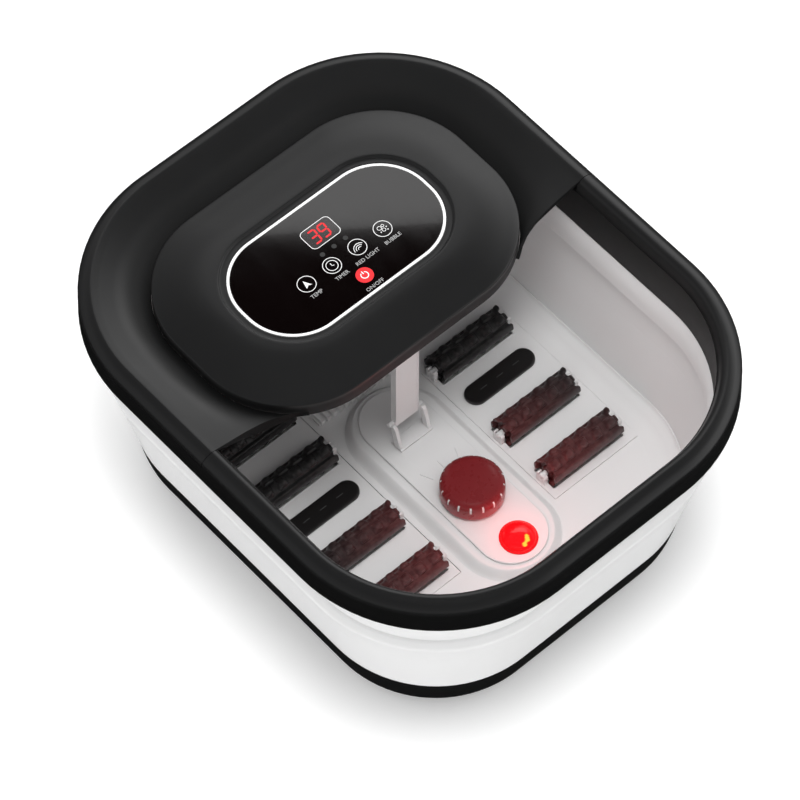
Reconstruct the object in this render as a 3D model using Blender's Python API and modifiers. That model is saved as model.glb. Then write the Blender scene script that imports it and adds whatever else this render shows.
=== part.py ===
"""Folding foot spa basin: base, soft folding wall, rim with a control hood, prop strut, rollers and herb box.

Metres, +Z up. The origin is on the ground under the middle of the tub, +X across it, and +Y towards the hood.
"""

import math

import bmesh
import bpy

MM = 0.001
GAP = 0.3 * MM  # clearance between pieces that touch

# Tub outline and its heights, from the ground up
TUB_LENGTH = 420 * MM
TUB_WIDTH = 350 * MM
TUB_CORNER = 118.4 * MM
FOOT_HEIGHT = 4 * MM
BASE_HEIGHT = 35.7 * MM
LOWER_FOLD_HEIGHT = 56.3 * MM
WAIST_HEIGHT = 26 * MM
UPPER_FOLD_HEIGHT = 24 * MM
INNER_RING_HEIGHT = 20.5 * MM
SKIRT_HEIGHT = 25.5 * MM

# How far each level of the tub is set in from the outline
BASE_TOP_INSET = 30.6 * MM
BASE_EDGE_INSET = 35.7 * MM
BASE_FLAT_INSET = 58 * MM
WAIST_INSET = 14.5 * MM
INNER_RING_INSET = 15.2 * MM

# Walls
SHELL = 2.4 * MM
FOLD_WALL = 2.2 * MM
HOOD_LAYER = 2.5 * MM  # thickness of the hood where it caps the bead

# Floor pan
FLOOR_INSET = 53 * MM
FLOOR_RISE = 1.3 * MM  # floor above the top of the base
MOUND_FOOT = 42 * MM  # half width where the raised middle meets the floor
MOUND_REACH = 7.5 * MM  # raised middle beyond each end of its plate, at the floor
MOUND_TOP = 28.5 * MM
MOUND_RISE = 7 * MM
PLATE_HALF_WIDTH = 26 * MM
PLATE_THICKNESS = 2 * MM
PLATE_FRONT_MARGIN = 79 * MM  # plate's front end to the tub's end
PLATE_BACK_REACH = 35 * MM  # plate's back end behind the strut
WELL_CLEARANCE = 1.2 * MM
BOSS_RADIUS = 5 * MM
BOSS_X = 50 * MM
BOSS_END_MARGIN = 60 * MM

# Roller trays
TRAY_THICKNESS = 2.4 * MM
TRAY_END_MARGIN = 17 * MM  # tray end beyond the outermost roller axes
ROLLER_RADIUS = 12 * MM
ROLLER_RISE = 7 * MM  # roller axis above the floor
RECESS_CLEARANCE = 1.5 * MM  # under a roller
TRAY_DEPTH = ROLLER_RADIUS - ROLLER_RISE + RECESS_CLEARANCE  # tray top to the floor of its recess
ROLLER_LOBES = 6
LOBE_DEPTH = 2.4 * MM
AXLE_RADIUS = 2 * MM
AXLE_CLEARANCE = 0.25 * MM
POST_THICKNESS = 3.6 * MM
POST_INNER_MARGIN = 1.2 * MM
POST_OUTER_MARGIN = 4 * MM
POST_HALF_DEPTH = 4.5 * MM
ROLLER_END_GAP = 0.7 * MM
FRONT_ROW_MARGIN = 124 * MM  # front roller axis to the tub's end
ROW_PITCH = 44 * MM
STRIP_ROW_PITCH = 69 * MM  # between the rollers on either side of the magnet strip
STRIP_WIDTH = 17 * MM
STRIP_HEIGHT = 3.6 * MM
STRIP_END_MARGIN = 7.5 * MM

# Herb box and light
HERB_FROM_PLATE_END = 65 * MM
CAP_RADIUS = 22.7 * MM
CAP_HEIGHT = 16.6 * MM
CAP_FLUTES = 10
BASKET_RADIUS = 16.5 * MM
BASKET_DEPTH = 15 * MM
LENS_FROM_PLATE_END = 18 * MM
LENS_RADIUS = 13.5 * MM
LENS_HEIGHT = 3.4 * MM
LENS_NECK_RADIUS = 11 * MM

# Prop strut
STRUT_SETBACK = 19 * MM  # strut behind the pod's front edge
STRUT_WIDTH = 21 * MM
STRUT_DEPTH = 4.6 * MM
KNEE_RISE = 20 * MM  # foot pivot above the plate
KNEE_STUB_RADIUS = 2 * MM
KNEE_STUB_REACH = 4.5 * MM
KNEE_CLEARANCE = 0.6 * MM
LEG_THICKNESS = 3 * MM
PIVOT_DROP = 5 * MM  # top pivot below the hood's underside
BARREL_RADIUS = 3.2 * MM
BARREL_HALF_LENGTH = 8.2 * MM
HINGE_PIN_RADIUS = 1.5 * MM
LUG_THICKNESS = 3 * MM

# Hood, control pod and panel
HOOD_FRONT_Y = 7 * MM
POD_LENGTH = 176.4 * MM
POD_BACK_MARGIN = 49.3 * MM
POD_SIDE_MARGIN = 48.3 * MM
POD_CORNER = 72.6 * MM
POD_EDGE_DROP = 5 * MM  # pod's edge below the rim top
POD_CROWN = 5.2 * MM  # pod's crown above the rim top
POD_WALL_DROP = 18 * MM  # pod's lower edge below the rim top
VALLEY_DROP = 9 * MM
PANEL_WIDTH = 162.8 * MM
PANEL_LENGTH = 87 * MM
PANEL_CORNER = 40 * MM
PANEL_SHIFT = -0.7 * MM  # panel's middle from the pod's middle
PANEL_RISE = 3.5 * MM
BEZEL_WIDTH = 1.9 * MM
GLASS_THICKNESS = 2.4 * MM
LEDGE = 4 * MM
DISPLAY_SIZE = (27 * MM, 19 * MM, 3 * MM)
DISPLAY_SHIFT = 17 * MM
BOARD_SIZE = (130 * MM, 56 * MM, 1.6 * MM)

# Works in the base
FOOT_RADIUS = 10 * MM
FOOT_INSET = 90 * MM
PUMP_SIZE = (56 * MM, 42 * MM, 22 * MM)
WORKS_X = 34 * MM  # pump and power board from the middle line
WORKS_GAP = 8 * MM  # behind the trays
POWER_BOARD_SIZE = (62 * MM, 44 * MM, 1.6 * MM)
TUBE_RADIUS = 3 * MM
HEATER_SIZE = (36 * MM, 44 * MM, 2.4 * MM)
THERMOSTAT_RADIUS = 7 * MM
LAMP_BOARD_SIZE = (24 * MM, 24 * MM, 1.6 * MM)
GLAND_RADIUS = 6.5 * MM
GLAND_X = -70 * MM
GRILLE_SIZE = (78 * MM, 16 * MM, 6 * MM)
GRILLE_SLOTS = 9
SCREW_RADIUS = 2 * MM
SCREW_HEAD_RADIUS = 4 * MM
SCREW_LENGTH = 16 * MM

CORNER_STEPS = 6
ROUND_SIDES = 20
PIN_SIDES = 12

# Levels and places worked out from the sizes above
BASE_TOP = FOOT_HEIGHT + BASE_HEIGHT
WAIST_BOTTOM = BASE_TOP + LOWER_FOLD_HEIGHT
WAIST_TOP = WAIST_BOTTOM + WAIST_HEIGHT
RING_BOTTOM = WAIST_TOP + UPPER_FOLD_HEIGHT
SKIRT_BOTTOM = RING_BOTTOM + INNER_RING_HEIGHT
RIM_TOP = SKIRT_BOTTOM + SKIRT_HEIGHT
FLOOR = BASE_TOP + FLOOR_RISE
MOUND = FLOOR + MOUND_RISE
PLATE_TOP = MOUND + GAP + PLATE_THICKNESS
POD_Y = TUB_LENGTH / 2 - POD_BACK_MARGIN - POD_LENGTH / 2
POD_WIDTH = TUB_WIDTH - 2 * POD_SIDE_MARGIN
PANEL_Y = POD_Y + PANEL_SHIFT
GLASS_TOP = RIM_TOP + PANEL_RISE
LEDGE_TOP = GLASS_TOP - GLASS_THICKNESS - GAP
POD_BOTTOM = RIM_TOP - POD_WALL_DROP
HOOD_UNDERSIDE = POD_BOTTOM + 2 * MM
STRUT_Y = POD_Y - POD_LENGTH / 2 + STRUT_SETBACK
PIVOT_Z = HOOD_UNDERSIDE - PIVOT_DROP
KNEE_Z = PLATE_TOP + KNEE_RISE
PLATE_FRONT = PLATE_FRONT_MARGIN - TUB_LENGTH / 2
PLATE_BACK = STRUT_Y + PLATE_BACK_REACH
HERB_Y = PLATE_FRONT + HERB_FROM_PLATE_END
LENS_Y = PLATE_FRONT + LENS_FROM_PLATE_END
FRONT_ROW = FRONT_ROW_MARGIN - TUB_LENGTH / 2
ROWS = [
    FRONT_ROW,
    FRONT_ROW + ROW_PITCH,
    FRONT_ROW + ROW_PITCH + STRIP_ROW_PITCH,
    FRONT_ROW + 2 * ROW_PITCH + STRIP_ROW_PITCH,
]
STRIP_Y = (ROWS[1] + ROWS[2]) / 2 + 3 * MM
TRAY_INNER_X = MOUND_FOOT + 1.5 * MM
TRAY_OUTER_X = TUB_WIDTH / 2 - FLOOR_INSET - 0.5 * MM
TRAY_FRONT = ROWS[0] - TRAY_END_MARGIN
TRAY_BACK = ROWS[3] + TRAY_END_MARGIN
POST_X = (TRAY_INNER_X + POST_INNER_MARGIN, TRAY_OUTER_X - POST_OUTER_MARGIN - POST_THICKNESS)
ROLLER_X = (POST_X[0] + POST_THICKNESS + ROLLER_END_GAP, POST_X[1] - ROLLER_END_GAP)
AXLE_X = (POST_X[0] + GAP, POST_X[1] + POST_THICKNESS - GAP)
ROLLER_Z = FLOOR + ROLLER_RISE
WALL_SLOPE = (BASE_TOP_INSET - WAIST_INSET) / (WAIST_TOP - 7 * MM - BASE_TOP)
SIDES = {"left": -1, "right": 1}


# ------------------------------------------------------------------ helpers


def clear_scene():
    """Removes what a new scene starts with."""
    for obj in list(bpy.data.objects):
        bpy.data.objects.remove(obj, do_unlink=True)


def collection(name, hidden=False):
    """A new collection in the scene."""
    made = bpy.data.collections.new(name)
    made.hide_render = hidden
    bpy.context.scene.collection.children.link(made)
    return made


def material(name, colour, roughness, metallic=0.0):
    """A Principled material of one colour."""
    made = bpy.data.materials.new(name)
    made.use_nodes = True
    shader = made.node_tree.nodes["Principled BSDF"]
    shader.inputs["Base Color"].default_value = (*colour, 1.0)
    shader.inputs["Roughness"].default_value = roughness
    shader.inputs["Metallic"].default_value = metallic
    return made


def new_object(name, mesh, look=None):
    """An object in the basin's collection, or among the cutters where it has no look."""
    obj = bpy.data.objects.new(name, mesh)
    if look is None:
        CUTTERS.objects.link(obj)
        obj.hide_render = True
        obj.display_type = "WIRE"
    else:
        PARTS.objects.link(obj)
        mesh.materials.append(look)
    return obj


def rounded(half_x, half_y, corner, centre_y=0.0):
    """Points round a rounded rectangle, anticlockwise, with the same count for every size."""
    points = []
    for turn, (side_x, side_y) in enumerate(((1, 1), (-1, 1), (-1, -1), (1, -1))):
        for step in range(CORNER_STEPS + 1):
            angle = (turn + step / CORNER_STEPS) * math.pi / 2
            x = side_x * (half_x - corner) + corner * math.cos(angle)
            y = side_y * (half_y - corner) + corner * math.sin(angle)
            points.append((x, centre_y + y))
    return points


def tub(inset, z):
    """One level of the tub: its outline moved in by inset."""
    outline = rounded(TUB_WIDTH / 2 - inset, TUB_LENGTH / 2 - inset, TUB_CORNER - inset)
    return [(x, y, z) for x, y in outline]


def pod(inset, z):
    """One level of the control pod."""
    outline = rounded(POD_WIDTH / 2 - inset, POD_LENGTH / 2 - inset, POD_CORNER - inset, POD_Y)
    return [(x, y, z) for x, y in outline]


def panel(inset, z):
    """One level of the control panel."""
    outline = rounded(PANEL_WIDTH / 2 - inset, PANEL_LENGTH / 2 - inset, PANEL_CORNER - inset, PANEL_Y)
    return [(x, y, z) for x, y in outline]


def stadium(half_width, back, front, z):
    """One level of a strip with round ends that runs along Y."""
    outline = rounded(half_width, (back - front) / 2, half_width - 0.1 * MM, (back + front) / 2)
    return [(x, y, z) for x, y in outline]


def between(low, high, share, z):
    """A level part of the way from one outline to another."""
    return [(a[0] + share * (b[0] - a[0]), a[1] + share * (b[1] - a[1]), z) for a, b in zip(low, high)]


def loft(name, levels, look=None, ring=False):
    """A solid through levels of equal point counts. A ring joins its last level to its first; others get end caps."""
    shape = bmesh.new()
    loops = [[shape.verts.new(point) for point in level] for level in levels]
    joins = list(zip(loops, loops[1:]))
    if ring:
        joins.append((loops[-1], loops[0]))
    for low, high in joins:
        for i in range(len(low)):
            j = (i + 1) % len(low)
            shape.faces.new((low[i], low[j], high[j], high[i]))
    if not ring:
        shape.faces.new(loops[0])
        shape.faces.new(loops[-1])
    bmesh.ops.recalc_face_normals(shape, faces=shape.faces)
    return mesh_object(name, shape, look)


def mesh_object(name, shape, look=None):
    """Turns a bmesh into an object, smooth across shallow edges."""
    mesh = bpy.data.meshes.new(name)
    shape.to_mesh(mesh)
    shape.free()
    mesh.shade_smooth()
    mesh.set_sharp_from_angle(angle=math.radians(35))
    return new_object(name, mesh, look)


def box(name, low, high, look=None):
    """A box between two corners."""
    shape = bmesh.new()
    bmesh.ops.create_cube(shape, size=1.0)
    for vert in shape.verts:
        vert.co = [low[i] + (vert.co[i] + 0.5) * (high[i] - low[i]) for i in range(3)]
    return mesh_object(name, shape, look)


def rod(name, radius, start, end, look=None, sides=PIN_SIDES):
    """A round rod between two points that differ along one axis."""
    shape = bmesh.new()
    length = math.dist(start, end)
    bmesh.ops.create_cone(shape, cap_ends=True, segments=sides, radius1=radius, radius2=radius, depth=length)
    along = [abs(end[i] - start[i]) > 1e-9 for i in range(3)]
    middle = [(start[i] + end[i]) / 2 for i in range(3)]
    for vert in shape.verts:
        x, y, z = vert.co
        if along[0]:
            vert.co = (z, x, y)
        elif along[1]:
            vert.co = (y, z, x)
        vert.co = [vert.co[i] + middle[i] for i in range(3)]
    return mesh_object(name, shape, look)


def turned(name, profile, place, look=None, sides=ROUND_SIDES, along_y=False):
    """A turned solid. The profile's (radius, height) points run down the outer side and end on the axis."""
    mesh = bpy.data.meshes.new(name)
    edges = [(i, i + 1) for i in range(len(profile) - 1)]
    mesh.from_pydata([(radius, 0.0, height) for radius, height in profile], edges, [])
    obj = new_object(name, mesh, look)
    obj.location = place
    if along_y:
        obj.rotation_euler = (-math.pi / 2, 0.0, 0.0)
    screw = obj.modifiers.new("Turn", "SCREW")
    screw.steps = sides
    screw.render_steps = sides
    screw.use_merge_vertices = True
    screw.merge_threshold = 0.00005
    screw.use_smooth_shade = True
    return obj


def side_outline(name, points, x_low, x_high, look=None):
    """A flat outline of (y, z) points, thickened along X."""
    levels = [[(x, y, z) for y, z in points] for x in (x_low, x_high)]
    return loft(name, levels, look)


def combine(obj, others, operation):
    """Cuts others from obj, joins them to it, or keeps what they share."""
    for other in others:
        modifier = obj.modifiers.new(f"{operation.title()} {other.name}", "BOOLEAN")
        modifier.operation = operation
        modifier.solver = "EXACT"
        modifier.object = other
    return obj


def cut(obj, *others):
    return combine(obj, others, "DIFFERENCE")


def join(obj, *others):
    return combine(obj, others, "UNION")


# ------------------------------------------------------------------ base


def base_cover():
    """The black bowl under the tub, with holes for its screws and the cord gland."""
    shell = loft(
        "base_cover",
        [
            tub(BASE_FLAT_INSET, FOOT_HEIGHT),
            tub(48 * MM, FOOT_HEIGHT + 1.4 * MM),
            tub(40 * MM, FOOT_HEIGHT + 5 * MM),
            tub(BASE_EDGE_INSET, FOOT_HEIGHT + 10 * MM),
            tub(BASE_TOP_INSET, BASE_TOP),
            tub(BASE_TOP_INSET + SHELL, BASE_TOP),
            tub(BASE_EDGE_INSET + SHELL, FOOT_HEIGHT + 10.6 * MM),
            tub(43 * MM, FOOT_HEIGHT + 6.4 * MM),
            tub(50 * MM, FOOT_HEIGHT + 3.6 * MM),
            tub(BASE_FLAT_INSET, FOOT_HEIGHT + SHELL),
        ],
        LOOKS["black_plastic"],
    )
    for x, y in boss_places():
        cut(shell, rod(f"screw_hole_{x:.2f}_{y:.2f}", SCREW_RADIUS + GAP, (x, y, 0), (x, y, 0.01)))
    wall_y = TUB_LENGTH / 2 - BASE_EDGE_INSET
    gland_hole = rod(
        "gland_hole",
        GLAND_RADIUS + GAP,
        (GLAND_X, wall_y - 0.02, gland_z()),
        (GLAND_X, wall_y + 0.02, gland_z()),
        sides=ROUND_SIDES,
    )
    return cut(shell, gland_hole)


def gland_z():
    return FOOT_HEIGHT + 0.55 * BASE_HEIGHT


def boss_places():
    y = TUB_LENGTH / 2 - BOSS_END_MARGIN
    return [(x, end * y) for end in (-1, 1) for x in (-BOSS_X, BOSS_X)]


def feet():
    """Four rubber feet under the base."""
    x = TUB_WIDTH / 2 - FOOT_INSET
    y = TUB_LENGTH / 2 - FOOT_INSET
    top = FOOT_HEIGHT - GAP
    profile = [(0, top), (FOOT_RADIUS, top), (FOOT_RADIUS - 1 * MM, 0.6 * MM), (FOOT_RADIUS - 1.8 * MM, 0), (0, 0)]
    for end, end_name in ((-1, "front"), (1, "back")):
        for side_name, side in SIDES.items():
            turned(f"foot_{end_name}_{side_name}", profile, (side * x, end * y, 0), LOOKS["rubber"])


def floor_prism(name, inset, low, high):
    return loft(name, [tub(inset, low), tub(inset, high)])


def tray_block(name, side, grow, low, high, look=None):
    """A tray's plan between two heights: the floor's outline inside a box, grown by a clearance."""
    x_low, x_high = sorted((side * (TRAY_INNER_X - grow), side * (TRAY_OUTER_X + grow)))
    block = box(name, (x_low, TRAY_FRONT - grow, low), (x_high, TRAY_BACK + grow, high), look)
    outline = floor_prism(f"{name}_outline", FLOOR_INSET + 0.5 * MM - grow, low - 0.01, high + 0.01)
    return combine(block, [outline], "INTERSECT")


def tub_pan():
    """The white floor of the tub: raised middle, two recesses for the trays, herb well and screw bosses."""
    lip = BASE_TOP + 7 * MM
    lip_inset = wall_inset(lip) + FOLD_WALL + GAP
    pan = loft(
        "tub_pan",
        [
            tub(BASE_TOP_INSET + 9 * MM, FLOOR - SHELL),
            tub(wall_inset(BASE_TOP) + FOLD_WALL + GAP, BASE_TOP + 0.4 * MM),
            tub(lip_inset, lip),
            tub(lip_inset + 2 * MM, lip),
            tub(lip_inset + 7 * MM, FLOOR + 2.6 * MM),
            tub(FLOOR_INSET - 8 * MM, FLOOR + 0.7 * MM),
            tub(FLOOR_INSET, FLOOR),
        ],
        LOOKS["white_plastic"],
    )
    under = FLOOR - TRAY_DEPTH - SHELL
    well_radius = BASKET_RADIUS + WELL_CLEARANCE
    well_floor = PLATE_TOP - BASKET_DEPTH - 1 * MM
    for name, side in SIDES.items():
        join(pan, tray_block(f"recess_wall_{name}", side, GAP + SHELL, under, FLOOR - 1 * MM))
    join(
        pan,
        loft(
            "mound",
            [
                stadium(MOUND_FOOT, PLATE_BACK + MOUND_REACH, PLATE_FRONT - MOUND_REACH, FLOOR - 1 * MM),
                stadium(MOUND_FOOT, PLATE_BACK + MOUND_REACH, PLATE_FRONT - MOUND_REACH, FLOOR + 0.2 * MM),
                stadium(MOUND_TOP, PLATE_BACK + 2.5 * MM, PLATE_FRONT - 2.5 * MM, MOUND),
            ],
        ),
        rod(
            "well_wall",
            well_radius + SHELL,
            (0, HERB_Y, well_floor - SHELL),
            (0, HERB_Y, MOUND - 1 * MM),
            sides=ROUND_SIDES,
        ),
    )
    for x, y in boss_places():
        boss_foot = FOOT_HEIGHT + SHELL + 1 * MM
        join(pan, rod(f"boss_{x:.2f}_{y:.2f}", BOSS_RADIUS, (x, y, boss_foot), (x, y, FLOOR - 1 * MM)))
        cut(pan, rod(f"boss_hole_{x:.2f}_{y:.2f}", SCREW_RADIUS + GAP, (x, y, 0), (x, y, SCREW_LENGTH + 8 * MM)))
    for name, side in SIDES.items():
        cut(pan, tray_block(f"recess_{name}", side, GAP, FLOOR - TRAY_DEPTH, FLOOR + 0.01))
    hollow = loft(
        "mound_hollow",
        [
            stadium(MOUND_TOP + 3 * MM, PLATE_BACK + 2 * MM, PLATE_FRONT - 2 * MM, FLOOR - 0.012),
            stadium(MOUND_TOP + 3 * MM, PLATE_BACK + 2 * MM, PLATE_FRONT - 2 * MM, FLOOR),
            stadium(MOUND_TOP - 3 * MM, PLATE_BACK - 2 * MM, PLATE_FRONT + 2 * MM, MOUND - SHELL),
        ],
    )
    cut(hollow, rod("well_keep", well_radius + SHELL, (0, HERB_Y, 0), (0, HERB_Y, 0.1), sides=ROUND_SIDES))
    lens_hole = rod("lens_way", LENS_NECK_RADIUS - 2 * MM, (0, LENS_Y, 0.03), (0, LENS_Y, 0.1), sides=ROUND_SIDES)
    well = rod("well", well_radius, (0, HERB_Y, well_floor), (0, HERB_Y, 0.1), sides=ROUND_SIDES)
    return cut(pan, hollow, lens_hole, well)


def wall_inset(z):
    """Outer inset of the soft wall at a height: a straight taper from the base up to the shoulder."""
    return BASE_TOP_INSET - WALL_SLOPE * (z - BASE_TOP)


def centre_plate():
    """The white plate on the raised middle, open over the herb well and the lens."""
    plate = loft(
        "centre_plate",
        [
            stadium(PLATE_HALF_WIDTH, PLATE_BACK, PLATE_FRONT, MOUND + GAP),
            stadium(PLATE_HALF_WIDTH, PLATE_BACK, PLATE_FRONT, PLATE_TOP - 0.8 * MM),
            stadium(PLATE_HALF_WIDTH - 0.8 * MM, PLATE_BACK - 0.8 * MM, PLATE_FRONT + 0.8 * MM, PLATE_TOP),
        ],
        LOOKS["white_plastic"],
    )
    well = rod(
        "plate_well",
        BASKET_RADIUS + WELL_CLEARANCE,
        (0, HERB_Y, 0.03),
        (0, HERB_Y, 0.1),
        sides=ROUND_SIDES,
    )
    lens = rod("plate_lens", LENS_NECK_RADIUS + GAP, (0, LENS_Y, 0.03), (0, LENS_Y, 0.1), sides=ROUND_SIDES)
    return cut(plate, well, lens)


def trays():
    """Two white trays with a window for each roller, and a pair of notched posts for its axle."""
    for name, side in SIDES.items():
        tray = tray_block(f"tray_{name}", side, 0.0, FLOOR - TRAY_THICKNESS, FLOOR, LOOKS["white_plastic"])
        for row, y in enumerate(ROWS):
            posts = []
            for end, x in enumerate(POST_X):
                low, high = sorted((side * x, side * (x + POST_THICKNESS)))
                posts.append(
                    box(
                        f"post_{name}_{row}_{end}",
                        (low, y - POST_HALF_DEPTH, FLOOR - 1 * MM),
                        (high, y + POST_HALF_DEPTH, ROLLER_Z + AXLE_RADIUS + 0.8 * MM),
                    )
                )
            join(tray, *posts)
            reach = math.sqrt(max(ROLLER_RADIUS**2 - ROLLER_RISE**2, 0.0)) + 1 * MM
            low, high = sorted((side * (ROLLER_X[0] - 0.4 * MM), side * (ROLLER_X[1] + 0.4 * MM)))
            window = box(f"window_{name}_{row}", (low, y - reach, 0.02), (high, y + reach, FLOOR + 0.001))
            slot_half = AXLE_RADIUS + AXLE_CLEARANCE
            low, high = sorted((side * (POST_X[0] - 0.001), side * (TRAY_OUTER_X + 0.001)))
            slot = box(
                f"slot_{name}_{row}",
                (low, y - slot_half, ROLLER_Z - slot_half),
                (high, y + slot_half, ROLLER_Z + 0.02),
            )
            cut(tray, window, slot)


def axles():
    for name, side in SIDES.items():
        for row, y in enumerate(ROWS):
            start = (side * AXLE_X[0], y, ROLLER_Z)
            end = (side * AXLE_X[1], y, ROLLER_Z)
            rod(f"axle_{name}_{row + 1}", AXLE_RADIUS, start, end, LOOKS["white_plastic"])


def roller_ring(x, radii):
    """Points round the X axis, evenly spaced, one at each radius in turn."""
    step = 2 * math.pi / len(radii)
    return [(x, radius * math.cos(i * step), radius * math.sin(i * step)) for i, radius in enumerate(radii)]


def rollers():
    """Eight lobed rollers, each bored for its axle."""
    half = (ROLLER_X[1] - ROLLER_X[0]) / 2
    root = ROLLER_RADIUS - LOBE_DEPTH
    lobed = [ROLLER_RADIUS, ROLLER_RADIUS, root, root] * ROLLER_LOBES
    bored = [AXLE_RADIUS + AXLE_CLEARANCE] * len(lobed)
    sections = ((-half, bored), (-half, lobed), (half, lobed), (half, bored))
    levels = [roller_ring(x, radii) for x, radii in sections]
    for name, side in SIDES.items():
        for row, y in enumerate(ROWS):
            roller = loft(f"roller_{name}_{row + 1}", levels, LOOKS["roller"], ring=True)
            roller.location = (side * (ROLLER_X[0] + half), y, ROLLER_Z)


def magnet_strips():
    """A black strip with round ends on each tray, between the second and third rollers."""
    for name, side in SIDES.items():
        low = TRAY_INNER_X + STRIP_END_MARGIN
        high = TRAY_OUTER_X - STRIP_END_MARGIN - 2 * MM
        half = (high - low) / 2
        middle = side * (low + high) / 2
        levels = []
        for inset, z in ((0, FLOOR + GAP), (0, FLOOR + STRIP_HEIGHT - 1 * MM), (1.2 * MM, FLOOR + STRIP_HEIGHT)):
            outline = rounded(half - inset, STRIP_WIDTH / 2 - inset, STRIP_WIDTH / 2 - inset - 0.1 * MM, STRIP_Y)
            levels.append([(x + middle, y, z) for x, y in outline])
        loft(f"magnet_strip_{name}", levels, LOOKS["black_plastic"])


def strut_bracket():
    """Foot of the strut: a plate with two short legs that lean back up to the strut's stubs."""
    half = STRUT_WIDTH / 2 + 1 * MM
    foot = PLATE_TOP + GAP
    bracket = box(
        "strut_bracket",
        (-half - LEG_THICKNESS, STRUT_Y - 13 * MM, foot),
        (half + LEG_THICKNESS, STRUT_Y - 2 * MM, foot + 1.8 * MM),
        LOOKS["white_plastic"],
    )
    back = STRUT_Y - KNEE_STUB_RADIUS - KNEE_CLEARANCE
    side = [
        (back, KNEE_Z + 2 * MM),
        (back, KNEE_Z - 4 * MM),
        (STRUT_Y - 6 * MM, foot + 0.5 * MM),
        (STRUT_Y - 12 * MM, foot + 0.5 * MM),
        (back - 4.5 * MM, KNEE_Z - 1 * MM),
        (back - 3 * MM, KNEE_Z + 2 * MM),
    ]
    for name, sign in SIDES.items():
        low, high = sorted((sign * half, sign * (half + LEG_THICKNESS)))
        join(bracket, side_outline(f"leg_{name}", side, low, high))
    return bracket


def red_lens():
    """A shallow dome with a neck through the plate."""
    top = PLATE_TOP + GAP
    profile = [(0, top + LENS_HEIGHT)]
    for step in range(1, 5):
        angle = step / 4 * math.pi / 2
        profile.append((LENS_RADIUS * math.sin(angle), top + LENS_HEIGHT * (0.25 + 0.75 * math.cos(angle))))
    profile += [
        (LENS_RADIUS, top),
        (LENS_NECK_RADIUS, top),
        (LENS_NECK_RADIUS, MOUND + GAP),
        (0, MOUND + GAP),
    ]
    return turned("red_lens", profile, (0, LENS_Y, 0), LOOKS["red_lens"])


def herb_box():
    """The lift-out herb basket and the ribbed cap that twists on it."""
    rim = PLATE_TOP + GAP
    bottom = PLATE_TOP - BASKET_DEPTH
    wall = 1.6 * MM
    basket = turned(
        "herb_basket",
        [
            (0, bottom + wall),
            (BASKET_RADIUS - wall, bottom + wall),
            (BASKET_RADIUS - wall, rim + 4 * MM),
            (BASKET_RADIUS, rim + 4 * MM),
            (BASKET_RADIUS, rim + 1.5 * MM),
            (CAP_RADIUS - 1.5 * MM, rim + 1.5 * MM),
            (CAP_RADIUS - 1.5 * MM, rim),
            (BASKET_RADIUS, rim),
            (BASKET_RADIUS, bottom),
            (0, bottom),
        ],
        (0, HERB_Y, 0),
        LOOKS["white_plastic"],
    )
    foot = rim + 1.5 * MM + GAP
    top = rim + CAP_HEIGHT
    inner = BASKET_RADIUS + GAP
    cap = turned(
        "herb_cap",
        [
            (0, top),
            (CAP_RADIUS - 2.4 * MM, top),
            (CAP_RADIUS - 0.7 * MM, top - 0.7 * MM),
            (CAP_RADIUS, top - 2.4 * MM),
            (CAP_RADIUS, foot),
            (inner, foot),
            (inner, top - 2.4 * MM),
            (0, top - 2.4 * MM),
        ],
        (0, HERB_Y, 0),
        LOOKS["herb_cap"],
        sides=2 * CAP_FLUTES,
    )
    return basket, cap


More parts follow.
